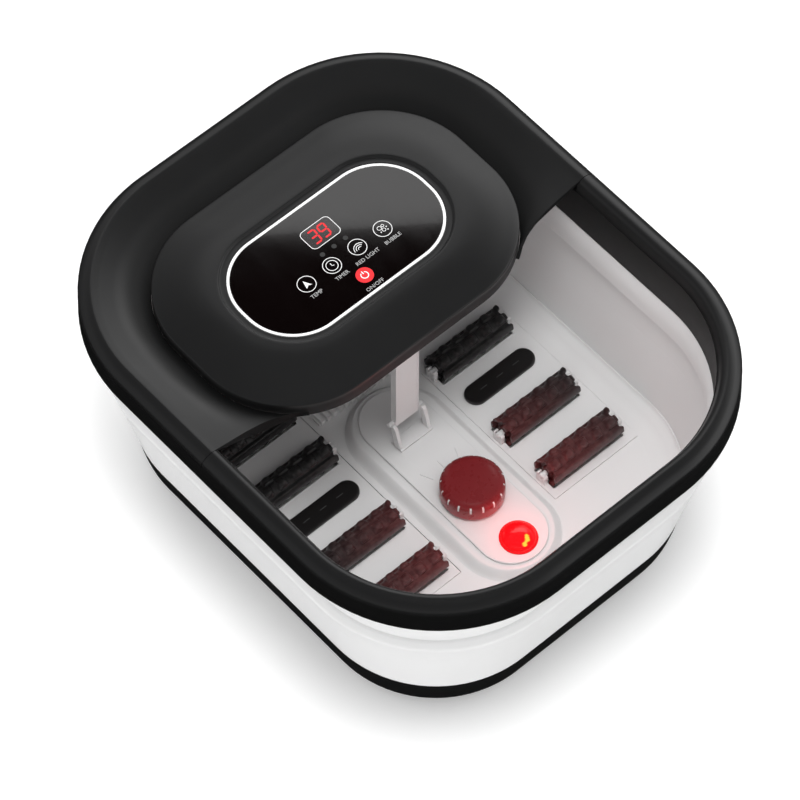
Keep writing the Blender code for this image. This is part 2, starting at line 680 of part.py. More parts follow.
def works():
    """Heater, thermostat, lamp board, pump, tube, power board, gland, grille and screws in the base."""
    mound_under = MOUND - SHELL
    heater_y = HERB_Y + BASKET_RADIUS + WELL_CLEARANCE + SHELL + 4 * MM + HEATER_SIZE[1] / 2
    heater_top = mound_under - GAP
    heater_bottom = heater_top - HEATER_SIZE[2]
    box(
        "heater_plate",
        (-HEATER_SIZE[0] / 2, heater_y - HEATER_SIZE[1] / 2, heater_bottom),
        (HEATER_SIZE[0] / 2, heater_y + HEATER_SIZE[1] / 2, heater_top),
        LOOKS["steel"],
    )
    bottom = heater_bottom - GAP
    profile = [
        (0, bottom),
        (THERMOSTAT_RADIUS, bottom),
        (THERMOSTAT_RADIUS, bottom - 3 * MM),
        (THERMOSTAT_RADIUS - 2 * MM, bottom - 3 * MM),
        (THERMOSTAT_RADIUS - 2 * MM, bottom - 8 * MM),
        (0, bottom - 8 * MM),
    ]
    turned("thermostat", profile, (0, heater_y, 0), LOOKS["brown_plastic"])

    lamp_top = mound_under - 3 * MM
    half_x, half_y = LAMP_BOARD_SIZE[0] / 2, LAMP_BOARD_SIZE[1] / 2
    lamp = box(
        "lamp_board",
        (-half_x, LENS_Y - half_y + 4 * MM, lamp_top - LAMP_BOARD_SIZE[2]),
        (half_x, LENS_Y + half_y + 4 * MM, lamp_top),
        LOOKS["board"],
    )
    join(lamp, rod("lamp", 2.5 * MM, (0, LENS_Y, lamp_top - 0.5 * MM), (0, LENS_Y, lamp_top + 4 * MM)))

    low = FOOT_HEIGHT + SHELL + 1.5 * MM
    works_y = TRAY_BACK + WORKS_GAP
    pump_x = WORKS_X
    pump = box(
        "air_pump",
        (pump_x, works_y, low),
        (pump_x + PUMP_SIZE[0], works_y + PUMP_SIZE[1], low + PUMP_SIZE[2]),
        LOOKS["pump_grey"],
    )
    nozzle_y = works_y + 9 * MM
    nozzle_z = low + PUMP_SIZE[2] - 7 * MM
    join(pump, rod("nozzle", 2 * MM, (pump_x - 8 * MM, nozzle_y, nozzle_z), (pump_x + 2 * MM, nozzle_y, nozzle_z)))
    bevel = pump.modifiers.new("Edges", "BEVEL")
    bevel.width = 1 * MM
    bevel.segments = 1
    bevel.limit_method = "ANGLE"
    bevel.angle_limit = math.radians(60)

    grille_y = PLATE_BACK + MOUND_REACH + 1 * MM
    air_tube(pump_x - 8 * MM - GAP, nozzle_y, nozzle_z, grille_y + GRILLE_SIZE[1] / 2)
    bubble_grille(grille_y)

    board_x = -pump_x - POWER_BOARD_SIZE[0]
    board = box(
        "power_board",
        (board_x, works_y, low),
        (board_x + POWER_BOARD_SIZE[0], works_y + POWER_BOARD_SIZE[1], low + POWER_BOARD_SIZE[2]),
        LOOKS["board"],
    )
    top = low + POWER_BOARD_SIZE[2] - 0.4 * MM
    transformer = box(
        "transformer",
        (board_x + 6 * MM, works_y + 6 * MM, top),
        (board_x + 28 * MM, works_y + 26 * MM, top + 16 * MM),
    )
    capacitor = rod(
        "capacitor",
        5 * MM,
        (board_x + 46 * MM, works_y + 14 * MM, top),
        (board_x + 46 * MM, works_y + 14 * MM, top + 14 * MM),
    )
    join(board, transformer, capacitor)
    cord_gland()
    for number, (x, y) in enumerate(boss_places()):
        screw(f"base_screw_{number + 1}", x, y, FOOT_HEIGHT - 2.5 * MM)


def air_tube(x, y, z, grille_y):
    """A bent tube from the pump's nozzle to the grille."""
    curve = bpy.data.curves.new("air_tube", "CURVE")
    curve.dimensions = "3D"
    curve.bevel_depth = TUBE_RADIUS
    curve.bevel_resolution = 1
    curve.use_fill_caps = True
    curve.resolution_u = 5
    spline = curve.splines.new("BEZIER")
    points = [
        (x, y, z),
        (x - 20 * MM, y - 6 * MM, z - 2 * MM),
        (8 * MM, grille_y + 6 * MM, z - 2 * MM),
        (0, grille_y, FLOOR - SHELL - 6 * MM),
        (0, grille_y, FLOOR - SHELL - GAP),
    ]
    spline.bezier_points.add(len(points) - 1)
    for point, place in zip(spline.bezier_points, points):
        point.co = place
        point.handle_left_type = "AUTO"
        point.handle_right_type = "AUTO"
    obj = bpy.data.objects.new("air_tube", curve)
    PARTS.objects.link(obj)
    curve.materials.append(LOOKS["clear_tube"])


def bubble_grille(y):
    """A low white grille on the floor behind the raised middle, where the air comes out."""
    low = FLOOR + GAP
    width, depth, height = GRILLE_SIZE
    grille = box("bubble_grille", (-width / 2, y, low), (width / 2, y + depth, low + height), LOOKS["white_plastic"])
    hollow = box(
        "grille_hollow",
        (-width / 2 + 2 * MM, y + 2 * MM, low - 0.01),
        (width / 2 - 2 * MM, y + depth - 2 * MM, low + height - 1.8 * MM),
    )
    cut(grille, hollow)
    pitch = width / (GRILLE_SLOTS + 1)
    for slot in range(GRILLE_SLOTS):
        x = -width / 2 + (slot + 1) * pitch
        cutter = box(f"grille_slot_{slot}", (x - 1.5 * MM, y - 0.001, low + 1.6 * MM), (x + 1.5 * MM, y + 0.012, 0.1))
        cut(grille, cutter)


def cord_gland():
    """The cord's entry in the back of the base: a flanged bush, open through its middle."""
    wall_y = TUB_LENGTH / 2 - wall_inset_of_base(gland_z())
    profile = [
        (2.6 * MM, 6 * MM),
        (GLAND_RADIUS + 2 * MM, 4.5 * MM),
        (GLAND_RADIUS + 2 * MM, 2.2 * MM),
        (GLAND_RADIUS, 2.2 * MM),
        (GLAND_RADIUS, -7 * MM),
        (2.6 * MM, -7 * MM),
        (2.6 * MM, 6 * MM),
    ]
    return turned("cord_gland", profile, (GLAND_X, wall_y, gland_z()), LOOKS["rubber"], along_y=True)


def wall_inset_of_base(z):
    """Outer inset of the base's side wall at a height."""
    low = FOOT_HEIGHT + 10 * MM
    share = (z - low) / (BASE_TOP - low)
    return BASE_EDGE_INSET + share * (BASE_TOP_INSET - BASE_EDGE_INSET)


def screw(name, x, y, head_z):
    """A pan-head screw that points up, with its head below head_z + 1.5 mm."""
    head = head_z + 2.2 * MM
    profile = [
        (0, head + SCREW_LENGTH),
        (SCREW_RADIUS, head + SCREW_LENGTH - 1 * MM),
        (SCREW_RADIUS, head),
        (SCREW_HEAD_RADIUS, head),
        (SCREW_HEAD_RADIUS - 0.5 * MM, head_z + 0.6 * MM),
        (0, head_z + 0.3 * MM),
    ]
    return turned(name, profile, (x, y, 0), LOOKS["steel"], sides=PIN_SIDES)


# ------------------------------------------------------------------ folding wall


def lower_fold():
    """Soft wall between the base and the waist ring, tapering out as it rises."""
    low, high = BASE_TOP + GAP, WAIST_BOTTOM - GAP
    middle = (low + high) / 2
    return loft(
        "lower_fold",
        [
            tub(wall_inset(low), low),
            tub(wall_inset(middle), middle),
            tub(wall_inset(high), high),
            tub(wall_inset(high) + FOLD_WALL, high),
            tub(wall_inset(middle) + FOLD_WALL, middle),
            tub(wall_inset(low) + FOLD_WALL, low),
        ],
        LOOKS["soft_white"],
        ring=True,
    )


def waist_ring():
    """The stiff white band with a rounded shoulder, between the two folds."""
    low, high = WAIST_BOTTOM, WAIST_TOP
    shoulder = high - 7 * MM
    return loft(
        "waist_ring",
        [
            tub(wall_inset(low) + 0.6 * MM, low),
            tub(wall_inset(low + 2 * MM), low + 2 * MM),
            tub(WAIST_INSET, shoulder),
            tub(WAIST_INSET - 1 * MM, shoulder + 3 * MM),
            tub(WAIST_INSET - 0.4 * MM, high - 1.5 * MM),
            tub(WAIST_INSET + 1.4 * MM, high),
            tub(WAIST_INSET + 3.2 * MM, high),
            tub(WAIST_INSET + 2.2 * MM, shoulder),
            tub(wall_inset(low) + FOLD_WALL, low),
        ],
        LOOKS["soft_white"],
        ring=True,
    )


def upper_fold():
    """Soft wall between the waist ring and the rim, folded inwards along its middle."""
    low, high = WAIST_TOP + GAP, RING_BOTTOM - GAP
    middle = (low + high) / 2
    tuck = 5 * MM
    return loft(
        "upper_fold",
        [
            tub(WAIST_INSET + 1.2 * MM, low),
            tub(WAIST_INSET + tuck, middle),
            tub(INNER_RING_INSET, high),
            tub(INNER_RING_INSET + FOLD_WALL, high),
            tub(WAIST_INSET + tuck + FOLD_WALL, middle),
            tub(WAIST_INSET + 1.2 * MM + FOLD_WALL, low),
        ],
        LOOKS["soft_white"],
        ring=True,
    )


# ------------------------------------------------------------------ rim and hood


def bead_levels(depth):
    """Levels over the bead's outer face and top, moved in from its surface by depth."""
    shape = (
        (0.0, 14.0),
        (0.0, 10.0),
        (1.2, 5.6),
        (4.0, 1.8),
        (7.6, 0.0),
        (11.2, 0.6),
        (14.4, 3.0),
        (16.6, 7.0),
    )
    centre_inset, centre_drop = 8.4 * MM, 9.5 * MM
    levels = []
    for inset, drop in shape:
        across, down = inset * MM - centre_inset, drop * MM - centre_drop
        reach = math.hypot(across, down)
        shrink = (reach - depth) / reach
        levels.append(tub(centre_inset + across * shrink, RIM_TOP - centre_drop - down * shrink))
    return levels


def rim_frame():
    """The black rim: skirt, bead and inner wall in one moulding, lowered where the hood caps it."""
    inner = INNER_RING_INSET + SHELL
    levels = [tub(0.0, SKIRT_BOTTOM)] + bead_levels(0.0)
    levels += [
        tub(inner, RIM_TOP - 12 * MM),
        tub(inner, RING_BOTTOM),
        tub(INNER_RING_INSET, RING_BOTTOM),
        tub(INNER_RING_INSET, RIM_TOP - 12 * MM),
        tub(INNER_RING_INSET - 3.4 * MM, RIM_TOP - 6.4 * MM),
        tub(7.4 * MM, RIM_TOP - 5 * MM),
        tub(SHELL + 2 * MM, RIM_TOP - 7.6 * MM),
        tub(SHELL, RIM_TOP - 12 * MM),
        tub(SHELL, SKIRT_BOTTOM),
    ]
    rim = loft("rim_frame", levels, LOOKS["black_plastic"], ring=True)
    outer = bead_levels(-4 * MM)
    inner_layer = bead_levels(HOOD_LAYER + GAP)
    step = (tub(-4 * MM, RIM_TOP - 16 * MM), tub(HOOD_LAYER + GAP, RIM_TOP - 16 * MM))
    end = (tub(inner + 4 * MM, RIM_TOP - 8 * MM), tub(inner - 0.6 * MM, RIM_TOP - 9 * MM))
    layer = loft(
        "hood_seat",
        [step[0]] + outer + [end[0], end[1]] + inner_layer[::-1] + [step[1]],
        ring=True,
    )
    combine(layer, [rear_half("seat_rear", HOOD_FRONT_Y - GAP)], "INTERSECT")
    return cut(rim, layer)


def rear_half(name, front):
    """A box over all of the tub behind a line across it."""
    reach = TUB_WIDTH
    return box(name, (-reach, front, -0.1), (reach, front + TUB_LENGTH, 0.5))


def hood_cover():
    """The black hood over the rear of the rim: it caps the bead, dips, and meets the pod all round."""
    outer = bead_levels(0.0)[1:-1]
    inner = bead_levels(HOOD_LAYER)[1:-1]
    edge = pod(-0.4 * MM, 0)
    valley_rim = tub(27 * MM, 0)
    valley = RIM_TOP - VALLEY_DROP
    levels = [tub(0.0, RIM_TOP - 15.5 * MM)] + outer
    levels += [
        tub(17.5 * MM, RIM_TOP - 5.6 * MM),
        tub(22 * MM, valley + 1 * MM),
        between(valley_rim, edge, 0.2, valley),
        between(valley_rim, edge, 0.7, valley),
        pod(-0.4 * MM, valley + 1 * MM),
        pod(-0.4 * MM, valley + 1 * MM - SHELL),
        between(valley_rim, edge, 0.7, valley - SHELL),
        between(valley_rim, edge, 0.2, valley - SHELL),
        tub(22.6 * MM, valley + 1 * MM - SHELL),
        tub(19 * MM, RIM_TOP - 8 * MM),
    ]
    levels += inner[::-1] + [tub(HOOD_LAYER, RIM_TOP - 15.5 * MM)]
    hood = loft("hood_cover", levels, LOOKS["black_plastic"], ring=True)
    return combine(hood, [rear_half("hood_rear", HOOD_FRONT_Y)], "INTERSECT")


def pod_cover():
    """The raised pod: wall, shallow dome and the stepped recess that holds the panel."""
    edge_z = RIM_TOP - POD_EDGE_DROP
    crown = RIM_TOP + POD_CROWN
    edge, middle = pod(6 * MM, 0), panel(-6 * MM, 0)
    under_edge = pod(7 * MM, 0)
    return loft(
        "pod_cover",
        [
            pod(1.2 * MM, POD_BOTTOM),
            pod(0.0, edge_z - 3 * MM),
            pod(0.8 * MM, edge_z),
            pod(3 * MM, edge_z + 2 * MM),
            pod(6 * MM, edge_z + 3.2 * MM),
            between(edge, middle, 0.4, crown - 4 * MM),
            between(edge, middle, 0.8, crown - 0.6 * MM),
            panel(-6 * MM, crown),
            panel(-4.6 * MM, crown - 0.6 * MM),
            panel(-3.4 * MM, GLASS_TOP - 0.2 * MM),
            panel(-GAP, GLASS_TOP - 0.2 * MM),
            panel(-GAP, LEDGE_TOP),
            panel(LEDGE, LEDGE_TOP),
            panel(LEDGE, LEDGE_TOP - 1.8 * MM),
            panel(-5 * MM, LEDGE_TOP - 1.8 * MM),
            between(under_edge, middle, 0.8, crown - 0.6 * MM - SHELL),
            between(under_edge, middle, 0.4, crown - 4 * MM - SHELL),
            pod(7 * MM, edge_z + 0.8 * MM),
            pod(4.4 * MM, edge_z - 1.4 * MM),
            pod(SHELL, edge_z - 4 * MM),
            pod(1.2 * MM + SHELL, POD_BOTTOM),
        ],
        LOOKS["black_plastic"],
        ring=True,
    )


def hood_tray():
    """The pod's underside, with two lugs for the strut's hinge pin and two screw bosses."""
    tray_inset = 1.2 * MM + SHELL + GAP
    top = HOOD_UNDERSIDE + SHELL
    tray = loft("hood_tray", [pod(tray_inset, HOOD_UNDERSIDE), pod(tray_inset, top)], LOOKS["black_plastic"])
    lug_x = BARREL_HALF_LENGTH + 0.6 * MM
    outline = [
        (STRUT_Y - 5 * MM, HOOD_UNDERSIDE + 0.5 * MM),
        (STRUT_Y - BARREL_RADIUS, PIVOT_Z),
        (STRUT_Y - 1.5 * MM, PIVOT_Z - BARREL_RADIUS),
        (STRUT_Y + 1.5 * MM, PIVOT_Z - BARREL_RADIUS),
        (STRUT_Y + BARREL_RADIUS, PIVOT_Z),
        (STRUT_Y + 5 * MM, HOOD_UNDERSIDE + 0.5 * MM),
    ]
    for name, sign in SIDES.items():
        low, high = sorted((sign * lug_x, sign * (lug_x + LUG_THICKNESS)))
        join(tray, side_outline(f"lug_{name}", outline, low, high))
    reach = lug_x + LUG_THICKNESS + 0.001
    hole = rod("hinge_hole", HINGE_PIN_RADIUS + AXLE_CLEARANCE, (-reach, STRUT_Y, PIVOT_Z), (reach, STRUT_Y, PIVOT_Z))
    cut(tray, hole)
    for name, sign in SIDES.items():
        x = sign * tray_screw_x()
        cut(tray, rod(f"tray_hole_{name}", SCREW_RADIUS + GAP, (x, POD_Y, 0.1), (x, POD_Y, 0.3)))
        turned(
            f"tray_screw_{name}",
            [
                (0, top + 6 * MM),
                (SCREW_RADIUS, top + 5.4 * MM),
                (SCREW_RADIUS, HOOD_UNDERSIDE - GAP),
                (SCREW_HEAD_RADIUS, HOOD_UNDERSIDE - GAP),
                (SCREW_HEAD_RADIUS - 0.6 * MM, HOOD_UNDERSIDE - 2 * MM),
                (0, HOOD_UNDERSIDE - 2.2 * MM),
            ],
            (x, POD_Y, 0),
            LOOKS["steel"],
            sides=PIN_SIDES,
        )
    return tray


def tray_screw_x():
    return POD_WIDTH / 2 - 20 * MM


def hinge_pin():
    reach = BARREL_HALF_LENGTH + 0.6 * MM + LUG_THICKNESS + 0.6 * MM
    start, end = (-reach, STRUT_Y, PIVOT_Z), (reach, STRUT_Y, PIVOT_Z)
    return rod("hinge_pin", HINGE_PIN_RADIUS, start, end, LOOKS["steel"])


def touch_panel():
    """White bezel ring, glass, display module and control board."""
    foot = LEDGE_TOP + GAP
    loft(
        "bezel_ring",
        [
            panel(0.0, foot),
            panel(0.0, GLASS_TOP),
            panel(BEZEL_WIDTH, GLASS_TOP),
            panel(BEZEL_WIDTH, foot),
        ],
        LOOKS["bezel_white"],
        ring=True,
    )
    loft(
        "touch_panel",
        [panel(BEZEL_WIDTH + GAP, foot), panel(BEZEL_WIDTH + GAP, GLASS_TOP - 0.1 * MM)],
        LOOKS["panel_glass"],
    )
    width, depth, height = DISPLAY_SIZE
    top = foot - GAP
    centre_y = PANEL_Y + DISPLAY_SHIFT
    box(
        "display_module",
        (-width / 2, centre_y - depth / 2, top - height),
        (width / 2, centre_y + depth / 2, top),
        LOOKS["display"],
    )
    width, depth, height = BOARD_SIZE
    board_z = HOOD_UNDERSIDE + SHELL + 4 * MM
    board = box(
        "control_board",
        (-width / 2, PANEL_Y - depth / 2, board_z),
        (width / 2, PANEL_Y + depth / 2, board_z + height),
        LOOKS["board"],
    )
    for number, (x, y) in enumerate(((-50, -20), (50, -20), (-50, 20), (50, 20))):
        place = (x * MM, PANEL_Y + y * MM)
        join(
            board,
            rod(
                f"stand_{number}",
                2.5 * MM,
                (*place, HOOD_UNDERSIDE + SHELL + GAP),
                (*place, board_z + 0.5 * MM),
            ),
        )
    join(board, box("chip", (-8 * MM, PANEL_Y - 12 * MM, board_z + 1 * MM), (8 * MM, PANEL_Y, board_z + 3 * MM)))


def strut():
    """The white prop strut: a channel with a barrel on the hood's pin and two stubs at its foot."""
    half = STRUT_WIDTH / 2
    front, back = STRUT_Y - STRUT_DEPTH / 2, STRUT_Y + STRUT_DEPTH / 2
    shoulder = PIVOT_Z - BARREL_RADIUS - 2.5 * MM
    foot = KNEE_Z - 3.4 * MM
    body = box("strut", (-half, front, foot), (half, back, shoulder), LOOKS["white_plastic"])
    neck = box(
        "strut_neck",
        (-BARREL_HALF_LENGTH, front + 0.8 * MM, shoulder - 1 * MM),
        (BARREL_HALF_LENGTH, back - 0.8 * MM, PIVOT_Z),
    )
    barrel = rod(
        "strut_barrel",
        BARREL_RADIUS,
        (-BARREL_HALF_LENGTH + 0.05 * MM, STRUT_Y, PIVOT_Z),
        (BARREL_HALF_LENGTH - 0.05 * MM, STRUT_Y, PIVOT_Z),
    )
    reach = half + KNEE_STUB_REACH
    stubs = rod("strut_stubs", KNEE_STUB_RADIUS, (-reach, STRUT_Y, KNEE_Z), (reach, STRUT_Y, KNEE_Z))
    join(body, neck, barrel, stubs)
    channel = box(
        "strut_channel",
        (-half + 1.8 * MM, front + 1.8 * MM, KNEE_Z + 6 * MM),
        (half - 1.8 * MM, back + 0.01, shoulder - 5 * MM),
    )
    bore_reach = BARREL_HALF_LENGTH + 0.001
    bore = rod(
        "strut_bore",
        HINGE_PIN_RADIUS + AXLE_CLEARANCE,
        (-bore_reach, STRUT_Y, PIVOT_Z),
        (bore_reach, STRUT_Y, PIVOT_Z),
    )
    cut(body, channel, bore)
    ribbon_half = half - 4.5 * MM
    box(
        "strut_ribbon",
        (-ribbon_half, front + 1.8 * MM + GAP, KNEE_Z + 8 * MM),
        (ribbon_half, front + 1.8 * MM + GAP + 0.9 * MM, shoulder - 7 * MM),
        LOOKS["ribbon_grey"],
    )
    return body


clear_scene()
PARTS = collection("foot_spa_basin")
CUTTERS = collection("cutters", hidden=True)
LOOKS = {
    "black_plastic": material("black_plastic", (0.028, 0.028, 0.030), 0.35),
    "white_plastic": material("white_plastic", (0.80, 0.80, 0.79), 0.35),
    "soft_white": material("soft_white", (0.82, 0.82, 0.81), 0.45),
    "rubber": material("rubber", (0.02, 0.02, 0.02), 0.8),
    "roller": material("roller", (0.02, 0.018, 0.018), 0.4),
    "herb_cap": material("herb_cap", (0.22, 0.02, 0.03), 0.25),
    "red_lens": material("red_lens", (0.8, 0.02, 0.02), 0.1),
    "panel_glass": material("panel_glass", (0.006, 0.005, 0.005), 0.05),
    "bezel_white": material("bezel_white", (0.85, 0.85, 0.85), 0.3),
    "display": material("display", (0.12, 0.12, 0.12), 0.3),
    "board": material("board", (0.02, 0.16, 0.06), 0.5),
    "steel": material("steel", (0.6, 0.6, 0.6), 0.3, 1.0),
    "brown_plastic": material("brown_plastic", (0.12, 0.05, 0.02), 0.5),
    "pump_grey": material("pump_grey", (0.2, 0.2, 0.21), 0.5),
    "clear_tube": material("clear_tube", (0.7, 0.7, 0.68), 0.2),
    "ribbon_grey": material("ribbon_grey", (0.35, 0.35, 0.36), 0.6),
}
base_cover()
feet()
tub_pan()
centre_plate()
trays()
axles()
rollers()
magnet_strips()
strut_bracket()
red_lens()
herb_box()
works()
lower_fold()
waist_ring()
upper_fold()
rim_frame()
hood_cover()
pod_cover()
hood_tray()
hinge_pin()
touch_panel()
strut()
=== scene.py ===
"""Folding foot spa basin: the surfaces, finishes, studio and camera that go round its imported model.
Metres, +Z up. The origin is on the ground under the middle of the tub, +X across it, and +Y towards the
hood. """

import math

import bpy
import numpy as np
from bpy.props import FloatProperty, FloatVectorProperty, IntProperty, PointerProperty, StringProperty
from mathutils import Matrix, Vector


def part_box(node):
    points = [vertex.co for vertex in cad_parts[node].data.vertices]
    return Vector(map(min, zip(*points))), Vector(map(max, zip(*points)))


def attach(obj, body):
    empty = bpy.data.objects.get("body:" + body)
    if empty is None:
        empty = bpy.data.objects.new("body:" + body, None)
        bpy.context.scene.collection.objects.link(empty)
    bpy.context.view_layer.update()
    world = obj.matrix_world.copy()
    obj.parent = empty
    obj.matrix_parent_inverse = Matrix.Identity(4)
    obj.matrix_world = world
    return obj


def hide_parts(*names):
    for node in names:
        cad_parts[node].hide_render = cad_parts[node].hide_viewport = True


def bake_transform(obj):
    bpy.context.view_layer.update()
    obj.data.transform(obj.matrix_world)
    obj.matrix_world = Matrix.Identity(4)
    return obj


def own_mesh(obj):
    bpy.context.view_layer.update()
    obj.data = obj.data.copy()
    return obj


bl_info = {
    "name": "Foot spa basin",
    "version": (1, 0, 0),
    "blender": (4, 5, 0),
    "location": "3D View > Sidebar > Foot spa",
    "description": "Builds the surfaces and finishes of a folding foot spa basin",
    "category": "Add Mesh",
}

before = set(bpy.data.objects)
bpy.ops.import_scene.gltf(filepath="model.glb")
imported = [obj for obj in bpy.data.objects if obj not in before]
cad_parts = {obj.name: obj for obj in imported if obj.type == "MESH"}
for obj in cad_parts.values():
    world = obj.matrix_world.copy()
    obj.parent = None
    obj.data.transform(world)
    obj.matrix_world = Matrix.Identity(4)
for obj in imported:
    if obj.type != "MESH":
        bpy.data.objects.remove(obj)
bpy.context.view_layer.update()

MM = 0.001
GAP = 0.3 * MM  # clearance between pieces that touch
SEAM_GAP = 0.04 * MM  # clearance where a moulding runs on from one piece to the next
TURN = 2 * math.pi
ARC_STEPS = 22  # stretches in a quarter turn of the tub, the pod and the panel


def span(node):
    """Lowest and highest corner of a node of the frame."""
    low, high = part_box(node)
    return np.array(low), np.array(high)


RIM_LOW, RIM_HIGH = span("rim_frame")
BASE_LOW, BASE_HIGH = span("base_cover")
WAIST_LOW, WAIST_HIGH = span("waist_ring")
POD_LOW, POD_HIGH = span("pod_cover")
BEZEL_LOW, BEZEL_HIGH = span("bezel_ring")
PLATE_LOW, PLATE_HIGH = span("centre_plate")
TRAY_LOW, TRAY_HIGH = span("tray_right")
PAN_HIGH = span("tub_pan")[1]
CAP_LOW, CAP_HIGH = span("herb_cap")
BASKET_LOW, BASKET_HIGH = span("herb_basket")
LENS_LOW, LENS_HIGH = span("red_lens")
HALF_X, HALF_Y, RIM_TOP = RIM_HIGH
RING_BOTTOM = RIM_LOW[2]
BASE_TOP = BASE_HIGH[2]
FLOOR = BASE_TOP + 1.3 * MM
HERB_Y = (CAP_LOW[1] + CAP_HIGH[1]) / 2
LENS_Y = (LENS_LOW[1] + LENS_HIGH[1]) / 2
PANEL_Y = (BEZEL_LOW[1] + BEZEL_HIGH[1]) / 2
POD_Y = (POD_LOW[1] + POD_HIGH[1]) / 2
HOOD_FRONT = span("hood_cover")[0][1]
SIDES = {"left": -1, "right": 1}
ROWS = 4


def length(name, description, default):
    """A length in metres that a user may change."""
    return FloatProperty(
        name=name, description=description, default=default, min=0.0, unit="LENGTH", precision=5
    )


def colour(name, description, default):
    """A colour that a user may change."""
    return FloatVectorProperty(
        name=name, description=description, default=default, size=3, min=0.0, max=1.0, subtype="COLOR"
    )


class SpaShell(bpy.types.PropertyGroup):
    """Sizes of the rim, the folding wall and the base."""

    corner: length("Corner", "Corner radius of the tub's outline", 118.4 * MM)
    skirt: length("Skirt", "Height of the rim's skirt and bead", 25.5 * MM)
    hood_layer: length("Hood layer", "Thickness of the hood where it caps the bead", 2.5 * MM)
    ring_inset: length("Ring inset", "Inner ring's distance in from the outline", 15.2 * MM)
    shell: length("Shell", "Thickness of the hard walls", 2.4 * MM)
    fold_wall: length("Fold wall", "Thickness of the soft wall", 2.2 * MM)
    waist_inset: length("Waist inset", "Waist band's distance in from the outline", 14.5 * MM)
    base_inset: length("Base inset", "Base's distance in from the outline at its top", 30.6 * MM)
    edge_inset: length("Edge inset", "Base's distance in from the outline at its lower edge", 35.7 * MM)


class SpaHood(bpy.types.PropertyGroup):
    """Sizes of the pod, the panel and what is printed on it."""

    pod_corner: length("Pod corner", "Corner radius of the pod's outline", 72.6 * MM)
    panel_corner: length("Panel corner", "Corner radius of the panel's outline", 40 * MM)
    bezel: length("Bezel", "Width of the white ring round the panel", 1.9 * MM)
    icon_radius: length("Icon radius", "Radius of the ring round each icon", 6.4 * MM)
    icon_row: length("Icon row", "Icon rings' distance in front of the panel's middle", 8.1 * MM)
    icon_pitch: length("Icon pitch", "Distance between neighbouring icon rings", 22.5 * MM)
    bowl: length("Bowl", "Depth of the hood below the bead's crest, next to the pod", 13.4 * MM)
    line: length("Line", "Width of the printed lines", 0.44 * MM)
    letters: length("Letters", "Size of the printed words", 4.1 * MM)
    digit: length("Digit", "Height of the display's digits", 10.5 * MM)
    reading: StringProperty(name="Reading", description="Number on the display", default="39")


class SpaFloor(bpy.types.PropertyGroup):
    """Sizes of the floor, its rollers, the herb box and the strut."""

    floor_inset: length("Floor inset", "Flat floor's distance in from the outline", 53 * MM)
    mound_foot: length("Mound foot", "Half width where the raised middle meets the floor", 38.5 * MM)
    mound_top: length("Mound top", "Half width of the top of the raised middle", 31.5 * MM)
    mound_rise: length("Mound rise", "Height of the raised middle", 7 * MM)
    recess: length("Recess", "Depth of the roller recesses under the floor", 6.5 * MM)
    well: length("Well", "Radius of the herb well", 17.7 * MM)
    pad_rise: length("Pad rise", "Height of a roller's pads", 1.6 * MM)
    nub_rise: length("Nub rise", "Height of the nubs on a roller's pads", 1.5 * MM)
    roller_turn: FloatProperty(
        name="Roller turn",
        description="Turn of the rollers' ribs about their axles",
        default=0.7,
        subtype="ANGLE",
    )
    flutes: IntProperty(name="Flutes", description="Slots round the herb cap", default=16, min=3)
    strip_marks: IntProperty(
        name="Strip marks", description="Raised marks on a magnet strip", default=3, min=0
    )


class SpaFinish(bpy.types.PropertyGroup):
    """Colours of the finishes."""

    black: colour("Black plastic", "Rim, hood and base", (0.0095, 0.0095, 0.0098))
    white: colour("White plastic", "Floor, trays and strut", (0.78, 0.775, 0.775))
    soft: colour("Soft white", "Folding wall", (0.80, 0.80, 0.80))
    # The herb cap's red is the lamp's glow, painted on black plastic.
    cap: colour("Herb cap", "Cap of the herb box", (0.185, 0.016, 0.019))
    glow: colour("Glow", "Light of the lens", (1.0, 0.015, 0.02))
    ink: colour("Ink", "Printed lines of the panel", (0.80, 0.80, 0.80))


class SpaStudio(bpy.types.PropertyGroup):
    """The studio and the camera."""

    camera: FloatVectorProperty(
        name="Camera",
        description="Where the camera stands",
        default=(-1.1563, -1.2929, 2.8041),
        size=3,
        subtype="TRANSLATION",
        unit="LENGTH",
    )
    target: FloatVectorProperty(
        name="Target",
        description="The point that the camera looks at",
        default=(-0.04467, -0.04212, 0.1873),
        size=3,
        subtype="TRANSLATION",
        unit="LENGTH",
    )
    lens: FloatProperty(name="Lens", description="Focal length in millimetres", default=212.77, min=1.0)
    sky: FloatProperty(
        name="Sky", description="Brightness of the studio's soft light", default=0.9, min=0.0
    )
    lift: FloatProperty(
        name="Lift", description="Glow of the floor, which lightens its shadows", default=0.12, min=0.0
    )
    mirror: FloatProperty(
        name="Mirror", description="Brightness of the card that the panel mirrors", default=1.9
    )
    floor_size: length("Floor size", "Side of the studio floor", 12.0)


GROUPS = {"shell": SpaShell, "hood": SpaHood, "floor": SpaFloor, "finish": SpaFinish, "studio": SpaStudio}


def settings(group):
    """One of the scene's groups of sizes."""
    return getattr(bpy.context.scene, f"spa_{group}")


# ---------------------------------------------------------------- outlines and grids


